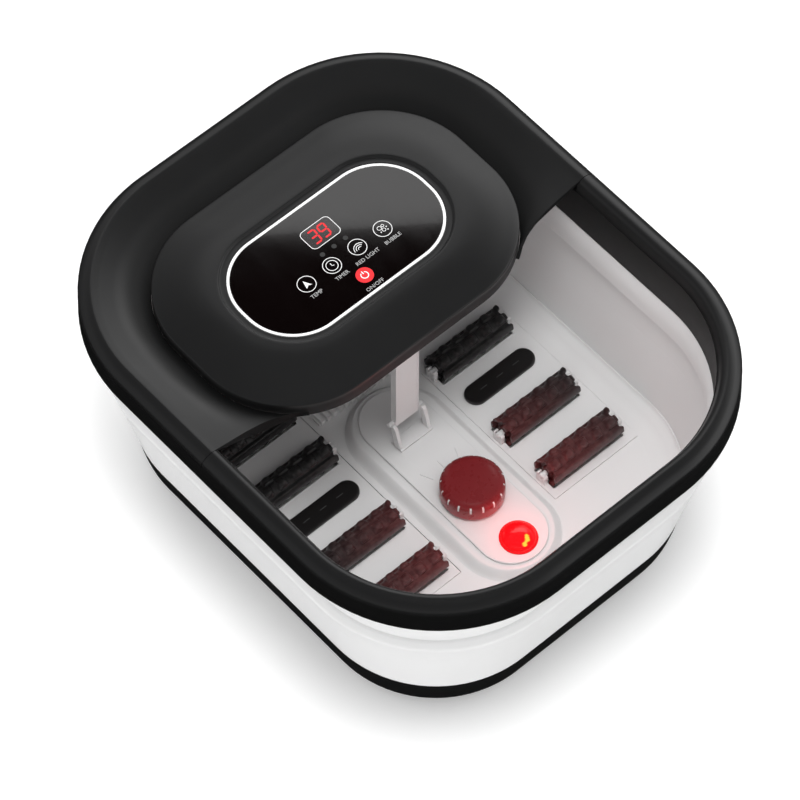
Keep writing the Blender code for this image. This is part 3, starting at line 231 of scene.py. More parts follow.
class Plan:
    """A rounded rectangle seen from above. Each station has a core point and an outward normal, and an
    outline set in by some distance is the core plus the normal times (corner radius - inset)."""

    def __init__(self, half_x, half_y, corner, centre=(0.0, 0.0), arc=ARC_STEPS, cuts=()):
        core_x, core_y = half_x - corner, half_y - corner
        quarter = np.linspace(0.0, TURN / 4, arc + 1)
        cuts = np.sort(np.asarray(cuts, float))
        cores, angles = [], []
        for turn, (side_x, side_y) in enumerate(((1, 1), (-1, 1), (-1, -1), (1, -1))):
            cores.append(np.tile((side_x * core_x, side_y * core_y), (arc + 1, 1)))
            angles.append(quarter + turn * TURN / 4)
            if turn % 2 and len(cuts):
                heights = cuts[::-1] if turn == 1 else cuts
                cores.append(np.stack([np.full(len(cuts), side_x * core_x), heights], axis=1))
                angles.append(np.full(len(cuts), (turn + 1) * TURN / 4))
        angle = np.concatenate(angles)
        self.core = np.concatenate(cores) + np.asarray(centre)
        self.normal = np.stack([np.cos(angle), np.sin(angle)], axis=1)
        self.corner = corner

    def at(self, inset=0.0):
        """The outline set in by inset, as (station, 2)."""
        return self.core + self.normal * (self.corner - inset)

    def rows(self, insets, heights):
        """A grid with one row for each pair of inset and height. Either may differ from station to
        station."""
        insets, heights = (np.atleast_1d(np.asarray(v, float)) for v in (insets, heights))
        insets = insets[:, None] if insets.ndim == 1 else insets
        heights = heights[:, None] if heights.ndim == 1 else heights
        insets, heights = np.broadcast_arrays(insets, heights)
        flat = self.core + self.normal * (self.corner - insets[..., None])
        high = np.broadcast_to(heights[..., None], flat.shape[:2] + (1,))
        return np.concatenate([flat, high], axis=2)


def tub_plan(cuts=(), arc=ARC_STEPS):
    return Plan(HALF_X, HALF_Y, settings("shell").corner, arc=arc, cuts=cuts)


def pod_plan():
    half = (POD_HIGH - POD_LOW) / 2
    return Plan(half[0], half[1], settings("hood").pod_corner, (0.0, POD_Y))


def panel_plan():
    half = (BEZEL_HIGH - BEZEL_LOW) / 2
    return Plan(half[0], half[1], settings("hood").panel_corner, (0.0, PANEL_Y))


def stadium_plan(half_width, back, front, arc=ARC_STEPS):
    """A strip with round ends that runs along Y."""
    return Plan(half_width, (back - front) / 2, half_width - 0.1 * MM, (0.0, (back + front) / 2), arc=arc)


def on_level(outline, height):
    """Outline points lifted to a height, as one row."""
    return np.concatenate([outline, np.full((len(outline), 1), float(height))], axis=1)


def smooth(keys, steps=6):
    """A Catmull-Rom curve through the keys along their first axis: between two keys it is the cubic
    whose slope at each key is half the difference of that key's neighbours."""
    keys = np.asarray(keys, float)
    wide = np.concatenate([2 * keys[:1] - keys[1:2], keys, 2 * keys[-1:] - keys[-2:-1]])
    before, start, end, after = (wide[i : len(wide) - 3 + i, None] for i in range(4))
    t = np.linspace(0.0, 1.0, steps, endpoint=False).reshape((1, steps) + (1,) * (keys.ndim - 1))
    bend = 2 * before - 5 * start + 4 * end - after
    twist = 3 * start - before - 3 * end + after
    points = 0.5 * (2 * start + (end - before) * t + bend * t**2 + twist * t**3)
    return np.concatenate([points.reshape((-1,) + keys.shape[1:]), keys[-1:]])


def turned_rows(radii, heights, angle):
    """A profile of radii and heights turned about Z, as a grid of (row, station) points."""
    radii, heights = np.asarray(radii, float)[:, None], np.asarray(heights, float)[:, None]
    return np.stack([radii * np.cos(angle), radii * np.sin(angle), heights + 0 * angle], axis=-1)


def smoothstep(value):
    """Rises from 0 to 1 as 3t^2 - 2t^3, and is level outside."""
    t = np.clip(value, 0.0, 1.0)
    return t * t * (3 - 2 * t)


def plateau(distance, half, soft):
    """1 within half of the middle, falling smoothly to 0 over a band soft wide."""
    return smoothstep((half + soft / 2 - np.abs(distance)) / soft)


def signed_volume(points, faces):
    """A sixth of the sum of the triple products of each face's fan of triangles."""
    total = 0.0
    for size in {len(face) for face in faces}:
        corners = points[np.array([face for face in faces if len(face) == size])]
        first = corners[:, :1]
        fans = np.cross(corners[:, 1:-1], corners[:, 2:])
        total += float((first * fans).sum()) / 6
    return total


class Surface:
    """Closed surfaces gathered from grids, before they become one mesh."""

    def __init__(self):
        self.points, self.faces, self.count = [], [], 0

    def add(self, points, faces):
        """Takes one closed surface, turned so that its faces point outwards."""
        points = np.asarray(points, float).reshape(-1, 3)
        if signed_volume(points - points.mean(axis=0), faces) < 0:
            faces = [face[::-1] for face in faces]
        self.faces += [[corner + self.count for corner in face] for face in faces]
        self.points.append(points)
        self.count += len(points)
        return self

    def loft(self, grid, ring=False, closed=True):
        """A grid of (row, station) points. Stations go round when closed, and the last row joins the
        first in a ring. Open ends get flat caps."""
        rows, stations = grid.shape[:2]
        index = np.arange(rows * stations).reshape(rows, stations)
        wide = np.concatenate([index, index[:1]]) if ring else index
        wide = np.concatenate([wide, wide[:, :1]], axis=1) if closed else wide
        corners = (wide[:-1, :-1], wide[:-1, 1:], wide[1:, 1:], wide[1:, :-1])
        faces = np.stack(corners, axis=-1).reshape(-1, 4).tolist()
        if not ring:
            faces += [index[0, ::-1].tolist(), index[-1].tolist()]
        if not closed:
            faces += [index[:, 0].tolist(), index[::-1, -1].tolist()]
        return self.add(grid, faces)

    def pierced(self, outer, inner, solid, closed=False):
        """A wall between two matching grids, left out in the cells where solid is false, with its cut edges
        closed. Stations go round when closed."""
        rows, stations = outer.shape[:2]
        top = np.arange(rows * stations).reshape(rows, stations)
        top = np.concatenate([top, top[:, :1]], axis=1) if closed else top
        under = top + rows * stations
        a, b, c, d = top[:-1, :-1], top[:-1, 1:], top[1:, 1:], top[1:, :-1]
        e, f, g, h = under[:-1, :-1], under[:-1, 1:], under[1:, 1:], under[1:, :-1]
        quads = [np.stack(q, axis=-1)[solid] for q in ((a, b, c, d), (h, g, f, e))]
        wide = np.pad(solid, 1)
        if closed:
            wide[1:-1, 0], wide[1:-1, -1] = solid[:, -1], solid[:, 0]
        inside = wide[1:-1, 1:-1]
        for open_side, q in (
            (~wide[:-2, 1:-1], (b, a, e, f)), (~wide[2:, 1:-1], (d, c, g, h)),
            (~wide[1:-1, :-2], (a, d, h, e)), (~wide[1:-1, 2:], (c, b, f, g)),
        ):
            quads.append(np.stack(q, axis=-1)[inside & open_side])
        quads = np.concatenate(quads)
        used, quads = np.unique(quads, return_inverse=True)
        points = np.concatenate([outer.reshape(-1, 3), inner.reshape(-1, 3)])[used]
        return self.add(points, quads.reshape(-1, 4).tolist())

    def slab(self, plan, low, high, fillet=0.4 * MM, steps=3):
        """A flat piece over a plan, whose top and bottom edges are quarter rounds."""
        turn = np.linspace(0.0, TURN / 4, steps + 1)
        inset = fillet * (1 - np.sin(turn))
        drop = fillet * (1 - np.cos(turn))
        heights = np.concatenate([low + drop, (high - drop)[::-1]])
        return self.loft(plan.rows(np.concatenate([inset, inset[::-1]]), heights))

    def block(self, low, high, fillet=0.4 * MM, arc=3):
        """A box between two corners with rounded edges, standing along Z."""
        low, high = np.minimum(low, high), np.maximum(low, high)
        half = (high - low) / 2
        round_off = min(fillet, 0.49 * half.min())
        plan = Plan(half[0], half[1], round_off * 1.01, (low + high)[:2] / 2, arc=arc)
        return self.slab(plan, low[2], high[2], round_off, steps=2)

    def turned(self, profile, place, steps=40, axis="Z"):
        """A profile of (radius, height) keys turned about an axis. It starts and ends near the axis,
        where small caps close it."""
        profile = np.asarray(profile, float)
        angle = np.linspace(0.0, TURN, steps, endpoint=False)
        radius = np.maximum(profile[:, :1], 0.02 * MM)
        height = np.repeat(profile[:, 1:2], steps, axis=1)
        across, up = radius * np.cos(angle), radius * np.sin(angle)
        order = {"Z": (across, up, height), "Y": (up, height, across), "X": (height, across, up)}[axis]
        return self.loft(np.stack(order, axis=-1) + np.asarray(place))

    def extruded(self, outline, low, high, axis="X"):
        """A flat outline of (y, z) points carried along X, or of (x, y) points along Z."""
        outline = np.asarray(outline, float)
        rows = []
        for place in (low, high):
            along = np.full((len(outline), 1), place)
            rows.append(np.concatenate([along, outline] if axis == "X" else [outline, along], axis=1))
        return self.loft(np.stack(rows))

    def stroke(self, path, width, low, high, closed=False):
        """A printed line: a flat rectangle carried along a path of (x, y) points, with its corners
        mitred."""
        path = np.asarray(path, float)
        if closed:
            ahead, behind = np.roll(path, -1, axis=0) - path, path - np.roll(path, 1, axis=0)
        else:
            step = np.diff(path, axis=0)
            ahead, behind = np.concatenate([step, step[-1:]]), np.concatenate([step[:1], step])
        ahead, behind = (v / np.linalg.norm(v, axis=1, keepdims=True) for v in (ahead, behind))
        mid = ahead + behind
        mid /= np.linalg.norm(mid, axis=1, keepdims=True)
        normal = np.stack([-mid[:, 1], mid[:, 0]], axis=1)
        mitre = np.clip((mid * ahead).sum(axis=1, keepdims=True), 0.4, 1.0)
        reach = normal * (width / 2) / mitre
        sides = ((path + reach, low), (path + reach, high), (path - reach, high), (path - reach, low))
        grid = np.stack([on_level(edge, height) for edge, height in sides])
        return self.loft(grid, ring=True, closed=closed)


def piece(name, surface, look, body, replaces=(), sharp=35.0, bevel=None):
    """Makes a gathered surface into an object that rides on a body of the frame."""
    mesh = bpy.data.meshes.new(name)
    mesh.from_pydata(np.concatenate(surface.points).tolist(), [], surface.faces)
    mesh.validate()
    return finish_mesh(name, mesh, look, body, replaces, sharp, bevel)


def finish_mesh(name, mesh, look, body, replaces=(), sharp=35.0, bevel=None):
    """Shades, paints and fastens a mesh. A body of None leaves it unfastened."""
    mesh.shade_smooth()
    mesh.set_sharp_from_angle(angle=math.radians(sharp))
    mesh.materials.append(look)
    obj = bpy.data.objects.new(name, mesh)
    bpy.context.scene.collection.objects.link(obj)
    if bevel:
        edges = obj.modifiers.new("Edges", "BEVEL")
        edges.width = bevel
        edges.segments = 2
        edges.limit_method = "ANGLE"
        edges.angle_limit = math.radians(50)
        edges.harden_normals = False
    if body:
        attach(obj, body)
    if replaces:
        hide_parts(*replaces)
    return obj


# ---------------------------------------------------------------- finishes


class Socket:
    """A shader socket. Arithmetic on it adds Math nodes to its material."""

    def __init__(self, look, socket):
        self.look, self.socket = look, socket

    def math(self, operation, *values):
        node = self.look.node("ShaderNodeMath", {"operation": operation}, dict(enumerate(values)))
        return Socket(self.look, node.outputs[0])

    def __add__(self, other):
        return self.math("ADD", self, other)

    def __radd__(self, other):
        return self.math("ADD", other, self)

    def __sub__(self, other):
        return self.math("SUBTRACT", self, other)

    def __rsub__(self, other):
        return self.math("SUBTRACT", other, self)

    def __mul__(self, other):
        return self.math("MULTIPLY", self, other)

    def __rmul__(self, other):
        return self.math("MULTIPLY", other, self)

    def __truediv__(self, other):
        return self.math("DIVIDE", self, other)

    def __pow__(self, other):
        return self.math("POWER", self, other)

    def step(self, low, high):
        """Rises smoothly from 0 at low to 1 at high."""
        inputs = {"Value": self, "From Min": low, "From Max": high}
        node = self.look.node("ShaderNodeMapRange", {"interpolation_type": "SMOOTHSTEP"}, inputs)
        return Socket(self.look, node.outputs[0])


class Look:
    """A material under construction, round its Principled shader."""

    def __init__(self, name, **constants):
        self.material = bpy.data.materials.new(name)
        self.material.use_nodes = True
        self.tree = self.material.node_tree
        self.shader = self.tree.nodes["Principled BSDF"]
        for socket, value in constants.items():
            self.shader.inputs[socket.replace("_", " ")].default_value = value
        self.place = self.node("ShaderNodeTexCoord").outputs["Object"]

    def node(self, kind, settings=None, inputs=None):
        """Adds a node, sets what it is told to, and feeds its sockets with values or links."""
        node = self.tree.nodes.new(kind)
        for key, value in (settings or {}).items():
            setattr(node, key, value)
        for key, value in (inputs or {}).items():
            if isinstance(value, Socket):
                value = value.socket
            if isinstance(value, bpy.types.NodeSocket):
                self.tree.links.new(value, node.inputs[key])
            else:
                node.inputs[key].default_value = value
        return node

    def noise(self, size, detail=2.0, stretch=(1.0, 1.0, 1.0)):
        """Cloudy values from 0 to 1 whose features are about size across, drawn out along an axis by
        stretch."""
        scale = [1 / (size * along) for along in stretch]
        mapping = self.node("ShaderNodeMapping", {}, {"Vector": self.place, "Scale": scale})
        inputs = {"Vector": mapping.outputs[0], "Scale": 1.0, "Detail": detail}
        return Socket(self, self.node("ShaderNodeTexNoise", {}, inputs).outputs["Fac"])

    def cells(self, size):
        """Distance to the nearest of points scattered about size apart, from 0 to about 1."""
        inputs = {"Vector": self.place, "Scale": 1 / size}
        return Socket(self, self.node("ShaderNodeTexVoronoi", {}, inputs).outputs["Distance"])

    def coordinate(self, axis):
        node = self.node("ShaderNodeSeparateXYZ", {}, {"Vector": self.place})
        return Socket(self, node.outputs[axis])

    def distance(self, place):
        """Distance from a point."""
        inputs = {0: self.place, 1: place}
        node = self.node("ShaderNodeVectorMath", {"operation": "DISTANCE"}, inputs)
        return Socket(self, node.outputs["Value"])

    def mix(self, factor, low, high):
        """A colour between two colours."""
        inputs = {"Factor": factor, 6: whole(low), 7: whole(high)}
        node = self.node("ShaderNodeMix", {"data_type": "RGBA"}, inputs)
        return Socket(self, node.outputs[2])

    def feed(self, **links):
        """Links what varies into the shader's sockets."""
        for name, value in links.items():
            self.tree.links.new(value.socket, self.shader.inputs[name.replace("_", " ")])
        return self

    def bump(self, height, distance, strength=1.0):
        """Raises the surface by height times distance in the light's eyes."""
        inputs = {"Height": height, "Distance": distance, "Strength": strength}
        node = self.node("ShaderNodeBump", {}, inputs)
        self.tree.links.new(node.outputs["Normal"], self.shader.inputs["Normal"])
        return self


def whole(tone):
    """A colour with its alpha, or a socket as it is."""
    return tone if isinstance(tone, (Socket, bpy.types.NodeSocket)) else (*tone[:3], 1.0)


def toned(tone, factor):
    """A colour made lighter or darker."""
    return tuple(min(1.0, channel * factor) for channel in tone)


def moulded(name, tone, roughness, grain=0.35 * MM, relief=0.012 * MM, variation=0.12, **constants):
    """Moulded plastic: a fine spark-eroded grain, faint flow marks in its colour and patches of wear in
    its gloss."""
    look = Look(name, **constants)
    flow = look.noise(38 * MM, 3.0, (1.0, 2.2, 1.0))
    wear = look.noise(9 * MM, 4.0)
    fine = look.noise(grain, 3.0)
    look.feed(
        Base_Color=look.mix(flow, toned(tone, 1 - variation), toned(tone, 1 + variation)),
        Roughness=roughness - 0.05 + wear * 0.06 + fine * 0.04,
    )
    return look.bump(fine, relief)


def make_looks():
    """Every finish, by name."""
    tones = settings("finish")
    black, white, soft = tuple(tones.black), tuple(tones.white), tuple(tones.soft)
    lamp = (0.0, LENS_Y, LENS_HIGH[2])
    looks = {
        "black_satin": moulded("black_satin", black, 0.42, relief=0.01 * MM),
        "white_plastic": moulded("white_plastic", white, 0.30, relief=0.003 * MM, variation=0.02),
        "soft_white": moulded("soft_white", soft, 0.48, grain=0.5 * MM, relief=0.01 * MM, variation=0.018),
        "rubber": moulded("rubber", (0.018, 0.018, 0.018), 0.75, relief=0.03 * MM),
        "strip_black": moulded("strip_black", (0.012, 0.011, 0.011), 0.38, relief=0.006 * MM),
        "dark_grey": moulded("dark_grey", (0.06, 0.06, 0.06), 0.45),
        "grey_plastic": moulded("grey_plastic", (0.2, 0.2, 0.21), 0.5),
        "brown_plastic": moulded("brown_plastic", (0.12, 0.05, 0.02), 0.5),
        "clear_tube": moulded("clear_tube", (0.7, 0.7, 0.68), 0.25, variation=0.03),
        "ribbon_grey": moulded("ribbon_grey", (0.42, 0.42, 0.43), 0.55, variation=0.05),
    }
    looks["black_gloss"] = rim_look(black)
    looks["roller_black"] = roller_look(lamp)
    looks["herb_cap"] = cap_look(tuple(tones.cap))
    looks["lens"] = lens_look(lamp)
    looks["glass"] = glass_look()
    looks["display"] = display_look()
    looks["ink_white"] = ink_look("ink_white", tuple(tones.ink), 0.35)
    looks["ink_grey"] = ink_look("ink_grey", (0.42, 0.42, 0.42), 0.15)
    looks["ink_dark"] = ink_look("ink_dark", (0.03, 0.03, 0.03), 0.0)
    looks["ink_red"] = ink_look("ink_red", (0.66, 0.012, 0.018), 0.45)
    looks["steel"] = steel_look()
    looks["board"] = board_look()
    return {name: look.material for name, look in looks.items()}


def rim_look(tone):
    """Black plastic, glossy above and spark-eroded dull from the foot of the bead down. From there down its
    colour is also darkened, as painted shade, and a patch of the hood's slope left of the pod is lightened,
    as a painted highlight.
    """
    look = Look("black_gloss", Specular_IOR_Level=0.46)
    polish_and_shade = look.coordinate("Z").step(RIM_TOP - 9.5 * MM, RIM_TOP - 4.5 * MM)
    flow = look.noise(38 * MM, 3.0, (1.0, 2.2, 1.0))
    wear = look.noise(9 * MM, 4.0)
    fine = look.noise(0.35 * MM, 3.0)
    upper = look.mix(flow, toned(tone, 0.88), toned(tone, 1.12))
    side, along, height = (look.coordinate(axis) for axis in "XYZ")
    # Painted highlight: the hood's slope left of the pod is lightened to a grey black, where it would
    # mirror light.
    valley_sheen = (1 - side.step(-148 * MM, -96 * MM)) * side.step(-163 * MM, -140 * MM)
    valley_sheen = valley_sheen * along.step(0.0, 50 * MM) * (1 - height.step(RIM_TOP - 7 * MM, RIM_TOP - 4 * MM))
    upper = look.mix(valley_sheen, upper, (0.034, 0.034, 0.034))
    # Painted shade: below the bead's foot the black is darkened to under half its tone.
    lower = look.mix(flow, toned(tone, 0.35), toned(tone, 0.45))
    look.feed(
        Base_Color=look.mix(polish_and_shade, lower, upper),
        Roughness=0.58 - polish_and_shade * 0.28 + wear * 0.05 + fine * 0.03,
    )
    return look.bump(fine, 0.005 * MM)


def roller_look(lamp):
    """Soft black plastic, rubbed on its high spots, with the lamp's red glow painted into its colour the
    nearer it lies.
    """
    look = Look("roller_black")
    # Painted light: the lamp's red glow, strongest on the rollers nearest it.
    near = 1 - look.distance(lamp).step(0.04, 0.15)
    patches = look.noise(3.4 * MM, 3.0)
    fine = look.noise(0.5 * MM, 3.0)
    plain = look.mix(patches.step(0.3, 0.75), (0.012, 0.012, 0.0125), (0.03, 0.029, 0.029))
    lit = look.mix(patches.step(0.25, 0.75), (0.085, 0.014, 0.015), (0.15, 0.036, 0.036))
    look.feed(Base_Color=look.mix(near, plain, lit), Roughness=0.32 + patches * 0.12 + fine * 0.05)
    return look.bump(patches * 0.7 + fine * 0.3, 0.03 * MM)


def cap_look(tone):
    """Black plastic with the lamp's red glow painted into its colour: darker on top, and lighter down the
    side, as painted light.
    """
    look = Look("herb_cap", Coat_Weight=0.15, Coat_Roughness=0.08, Specular_IOR_Level=0.35)
    height = look.coordinate("Z").step(CAP_LOW[2], CAP_HIGH[2])
    cloud = look.noise(7 * MM, 3.0)
    # Painted light: the side takes nearly twice the red of the top, as if lit by the lamp beside it.
    low = look.mix(cloud, toned(tone, 1.75), toned(tone, 1.95))
    top = look.mix(cloud, toned(tone, 0.95), toned(tone, 1.08))
    look.feed(Base_Color=look.mix(height, low, top), Roughness=0.24 + cloud * 0.08)
    return look.bump(look.noise(0.4 * MM, 2.0), 0.004 * MM)


def lens_look(lamp):
    """Clear red plastic over lamps: the light is brightest round two spots and falls away to the edge."""
    look = Look("lens", Coat_Weight=0.5, Coat_Roughness=0.03, Emission_Strength=1.0, Specular_IOR_Level=0.3)
    spots = None
    for x, y in ((3.6, -4.2), (2.0, -6.4), (-1.6, -7.8)):
        place = (lamp[0] + x * MM, lamp[1] + y * MM, lamp[2] - 1 * MM)
        spot = 1 - look.distance(place).step(0.4 * MM, 3.0 * MM)
        spots = spot if spots is None else spots + spot
    facets = look.cells(1.6 * MM)
    hot = spots * (0.75 + facets * 0.8)
    rim = look.distance(lamp).step(5 * MM, 14 * MM)
    red = look.mix(rim, (0.72, 0.0, 0.002), (0.30, 0.0, 0.001))
    look.feed(
        Base_Color=look.mix(facets, (0.45, 0.004, 0.006), (0.7, 0.01, 0.015)),
        Emission_Color=look.mix(hot.step(0.25, 1.0), red, (1.0, 0.72, 0.06)),
        Roughness=0.08 + facets * 0.06,
    )
    return look.bump(facets, 0.05 * MM)


def glass_look():
    """Black panel glass: mirror smooth, with a trace of smears."""
    look = Look("glass", Coat_Weight=0.3, Coat_Roughness=0.02)
    smear = look.noise(14 * MM, 4.0, (1.0, 2.5, 1.0))
    look.feed(
        Base_Color=look.mix(smear, (0.0014, 0.0005, 0.0005), (0.0022, 0.0009, 0.0009)),
        Roughness=0.03 + smear * 0.05,
    )
    return look.bump(smear, 0.01 * MM)


def display_look():
    """Smoked display window with a fine lattice."""
    look = Look("display")
    cells = look.cells(0.5 * MM)
    look.feed(
        Base_Color=look.mix(cells, (0.035, 0.033, 0.034), (0.055, 0.05, 0.05)), Roughness=0.2 + cells * 0.1
    )
    return look.bump(cells, 0.003 * MM)


def ink_look(name, tone, glow):
    """Screen-printed ink with a fine mottle, lit faintly from behind."""
    look = Look(name, Emission_Strength=glow)
    mottle = look.noise(0.3 * MM, 2.0)
    shade = look.mix(mottle, toned(tone, 0.85), tone)
    look.feed(Base_Color=shade, Emission_Color=shade, Roughness=0.32 + mottle * 0.15)
    return look.bump(mottle, 0.01 * MM)


def steel_look():
    """Bright plated steel with fine drawn lines."""
    look = Look("steel", Metallic=1.0)
    lines = look.noise(0.25 * MM, 2.0, (6.0, 1.0, 6.0))
    look.feed(
        Base_Color=look.mix(lines, (0.5, 0.5, 0.5), (0.68, 0.67, 0.66)), Roughness=0.24 + lines * 0.16
    )
    return look.bump(lines, 0.004 * MM)


def board_look():
    """Green circuit board with lighter tracks."""
    look = Look("board")
    tracks = look.noise(2.2 * MM, 0.0, (1.0, 5.0, 1.0)).step(0.52, 0.56)
    look.feed(
        Base_Color=look.mix(tracks, (0.01, 0.10, 0.035), (0.03, 0.22, 0.08)), Roughness=0.4 + tracks * 0.1
    )
    return look.bump(tracks, 0.03 * MM)


LOOKS = {}


# ---------------------------------------------------------------- rim, hood, pod and panel

BEAD = (  # (inset, drop) in millimetres over the bead, from the skirt's top to the inner wall
    (0.75, 8.6), (0.8, 6.6), (0.95, 5.2), (1.6, 4.1), (3.3, 2.7), (5.6, 1.25), (8.4, 0.25), (10.4, 0.0),
    (12.4, 0.6), (14.4, 2.4), (15.9, 5.6),
)
CREST = 0.7  # share of the bead's profile that the hood follows
BEAD_CENTRE = (8.4, 9.5)
SKIRT_STEP = 0.75 * MM  # the skirt's top lies this far in from the outline
SEAM = 0.45 * MM


def bead_profile():
    """The bead's cross-section as (inset, drop) in metres, smoothed."""
    return smooth(np.array(BEAD) * MM, 6)


class ShapeRim(bpy.types.Operator):
    """Makes the rim: skirt, bead and inner ring in one moulding, stepped down where the hood caps it"""

    bl_idname = "spa.rim"
    bl_label = "Rim"

    def execute(self, context):
        sizes = settings("shell")
        plan = tub_plan(
            cuts=(-60 * MM, -20 * MM, HOOD_FRONT - SEAM, HOOD_FRONT - SEAM + 0.02 * MM, 50 * MM)
        )
        bead = bead_profile()
        inner = sizes.ring_inset + sizes.shell
        depth = RIM_TOP - RING_BOTTOM
        skirt = sizes.skirt
        face = SKIRT_STEP
        profile = np.concatenate([
            [(0.9 * MM, skirt), (0.3 * MM, skirt - 0.25 * MM), (0.1 * MM, skirt - 0.9 * MM)],
            [(face, 9.2 * MM)], bead,
            [(16.9 * MM, 8.9 * MM), (inner, 9.2 * MM), (inner, 13 * MM), (inner, depth - 0.8 * MM)],
            [(inner - 0.5 * MM, depth), (sizes.ring_inset + 0.4 * MM, depth)],
            [(sizes.ring_inset, depth - 0.5 * MM), (sizes.ring_inset, 13 * MM), (12.2 * MM, 7.4 * MM)],
            [
                (8.6 * MM, 5.9 * MM), (6.0 * MM, 7.6 * MM), (5.0 * MM, 12 * MM),
                (sizes.shell + 2 * MM, 16 * MM),
            ],
            [(sizes.shell + face, 18 * MM), (sizes.shell + face, skirt)],
        ])
        capped = np.zeros(len(profile), bool)
        capped[4 : 5 + len(bead)] = True
        centre = np.array(BEAD_CENTRE) * MM
        away = profile - centre
        reach = np.linalg.norm(away, axis=1, keepdims=True)
        lowered = centre + away * (1 - (sizes.hood_layer + GAP) / reach)
        behind = plan.at()[:, 1] > HOOD_FRONT - SEAM + 0.01 * MM
        swap = capped[:, None, None] & behind[None, :, None]
        shape = np.where(swap, lowered[:, None], profile[:, None])
        grid = plan.rows(shape[..., 0], RIM_TOP - shape[..., 1])
        surface = Surface().loft(grid, ring=True)
        piece("rim", surface, LOOKS["black_gloss"], "rim", ["rim_frame"])
        return {"FINISHED"}


def hood_stations(plan):
    """The indices of the tub's stations behind the hood's front edge, from its right end round to its
    left end."""
    outline = plan.at()
    behind = np.flatnonzero(outline[:, 1] > HOOD_FRONT - 0.01 * MM)
    turn = np.arctan2(outline[behind, 1] - HOOD_FRONT + 20 * MM, outline[behind, 0])
    return behind[np.argsort(turn)]


def travelled(path):
    """The share of a path's length that lies before each of its points."""
    steps = np.linalg.norm(np.diff(path, axis=0), axis=1)
    along = np.concatenate([[0.0], np.cumsum(steps)])
    return along / along[-1]


class ShapeHood(bpy.types.Operator):
    """Makes the hood: it caps the bead over the rear half, slopes down inside it, and meets the pod all
    round"""

    bl_idname = "spa.hood"
    bl_label = "Hood"

    def execute(self, context):
        sizes = settings("shell")
        plan = tub_plan(cuts=np.concatenate([[HOOD_FRONT], np.linspace(HOOD_FRONT, 86 * MM, 12)[1:]]))
        stations = hood_stations(plan)
        shares = travelled(plan.at()[stations])
        foot = self.pod_foot()
        foot_shares = travelled(foot)
        edge = np.stack([np.interp(shares, foot_shares, foot[:, axis]) for axis in (0, 1)], axis=1)
        bead = bead_profile()
        bead = bead[: int(CREST * len(bead))]
        rows = [plan.rows(np.full(1, inset), RIM_TOP - drop)[0][stations] for inset, drop in bead]
        start = plan.at(bead[-1][0] + 4 * MM)[stations]
        ends = np.exp(-((shares / 0.035) ** 2)) + np.exp(-(((1 - shares) / 0.035) ** 2))
        top, bottom = bead[-1][1] + 1.0 * MM, settings("hood").bowl
        slope = [rows[-1]]
        for share in (0.0, 0.08, 0.18, 0.3, 0.42, 0.54, 0.66, 0.78, 0.9, 1.0):
            row = start + share * (edge - start)
            row[:, 1] += ends * (start[0, 1] - edge[0, 1]) * (share - share**4)
            fall = share
            slope.append(on_level(row, RIM_TOP - top - fall * (bottom - top)))
        grid = np.concatenate([np.stack(rows[:-1]), smooth(np.stack(slope), 3)])
        surface = Surface().loft(thickened(grid, sizes.hood_layer), ring=True, closed=False)
        piece("hood", surface, LOOKS["black_gloss"], "rim", ["hood_cover"])
        return {"FINISHED"}

    def pod_foot(self):
        """The pod's outline from where the hood's front edge runs into it on the right, round the back,
        to the left."""
        pod = pod_plan().at(-0.3 * MM)
        turn = np.arctan2(pod[:, 1] - 30 * MM, pod[:, 0])
        pod = pod[np.argsort((turn + 0.9) % TURN)]
        start = np.array([92 * MM, -5.2 * MM])
        kept = pod[(pod[:, 1] > start[1] + 1 * MM)]
        return np.concatenate([[start], kept, [start * (-1, 1)]])


def thickened(grid, wall):
    """A sheet's rows followed by the same rows moved in by the wall along the sheet's normal, back to
    front. The normal is the cross product of the differences along the two directions of the grid."""
    along = np.gradient(grid, axis=0)
    round_ = np.gradient(grid, axis=1)
    normal = np.cross(round_, along)
    normal /= np.maximum(np.linalg.norm(normal, axis=2, keepdims=True), 1e-12)
    if normal[..., 2].mean() < 0:
        normal = -normal
    return np.concatenate([grid, (grid - normal * wall)[::-1]])


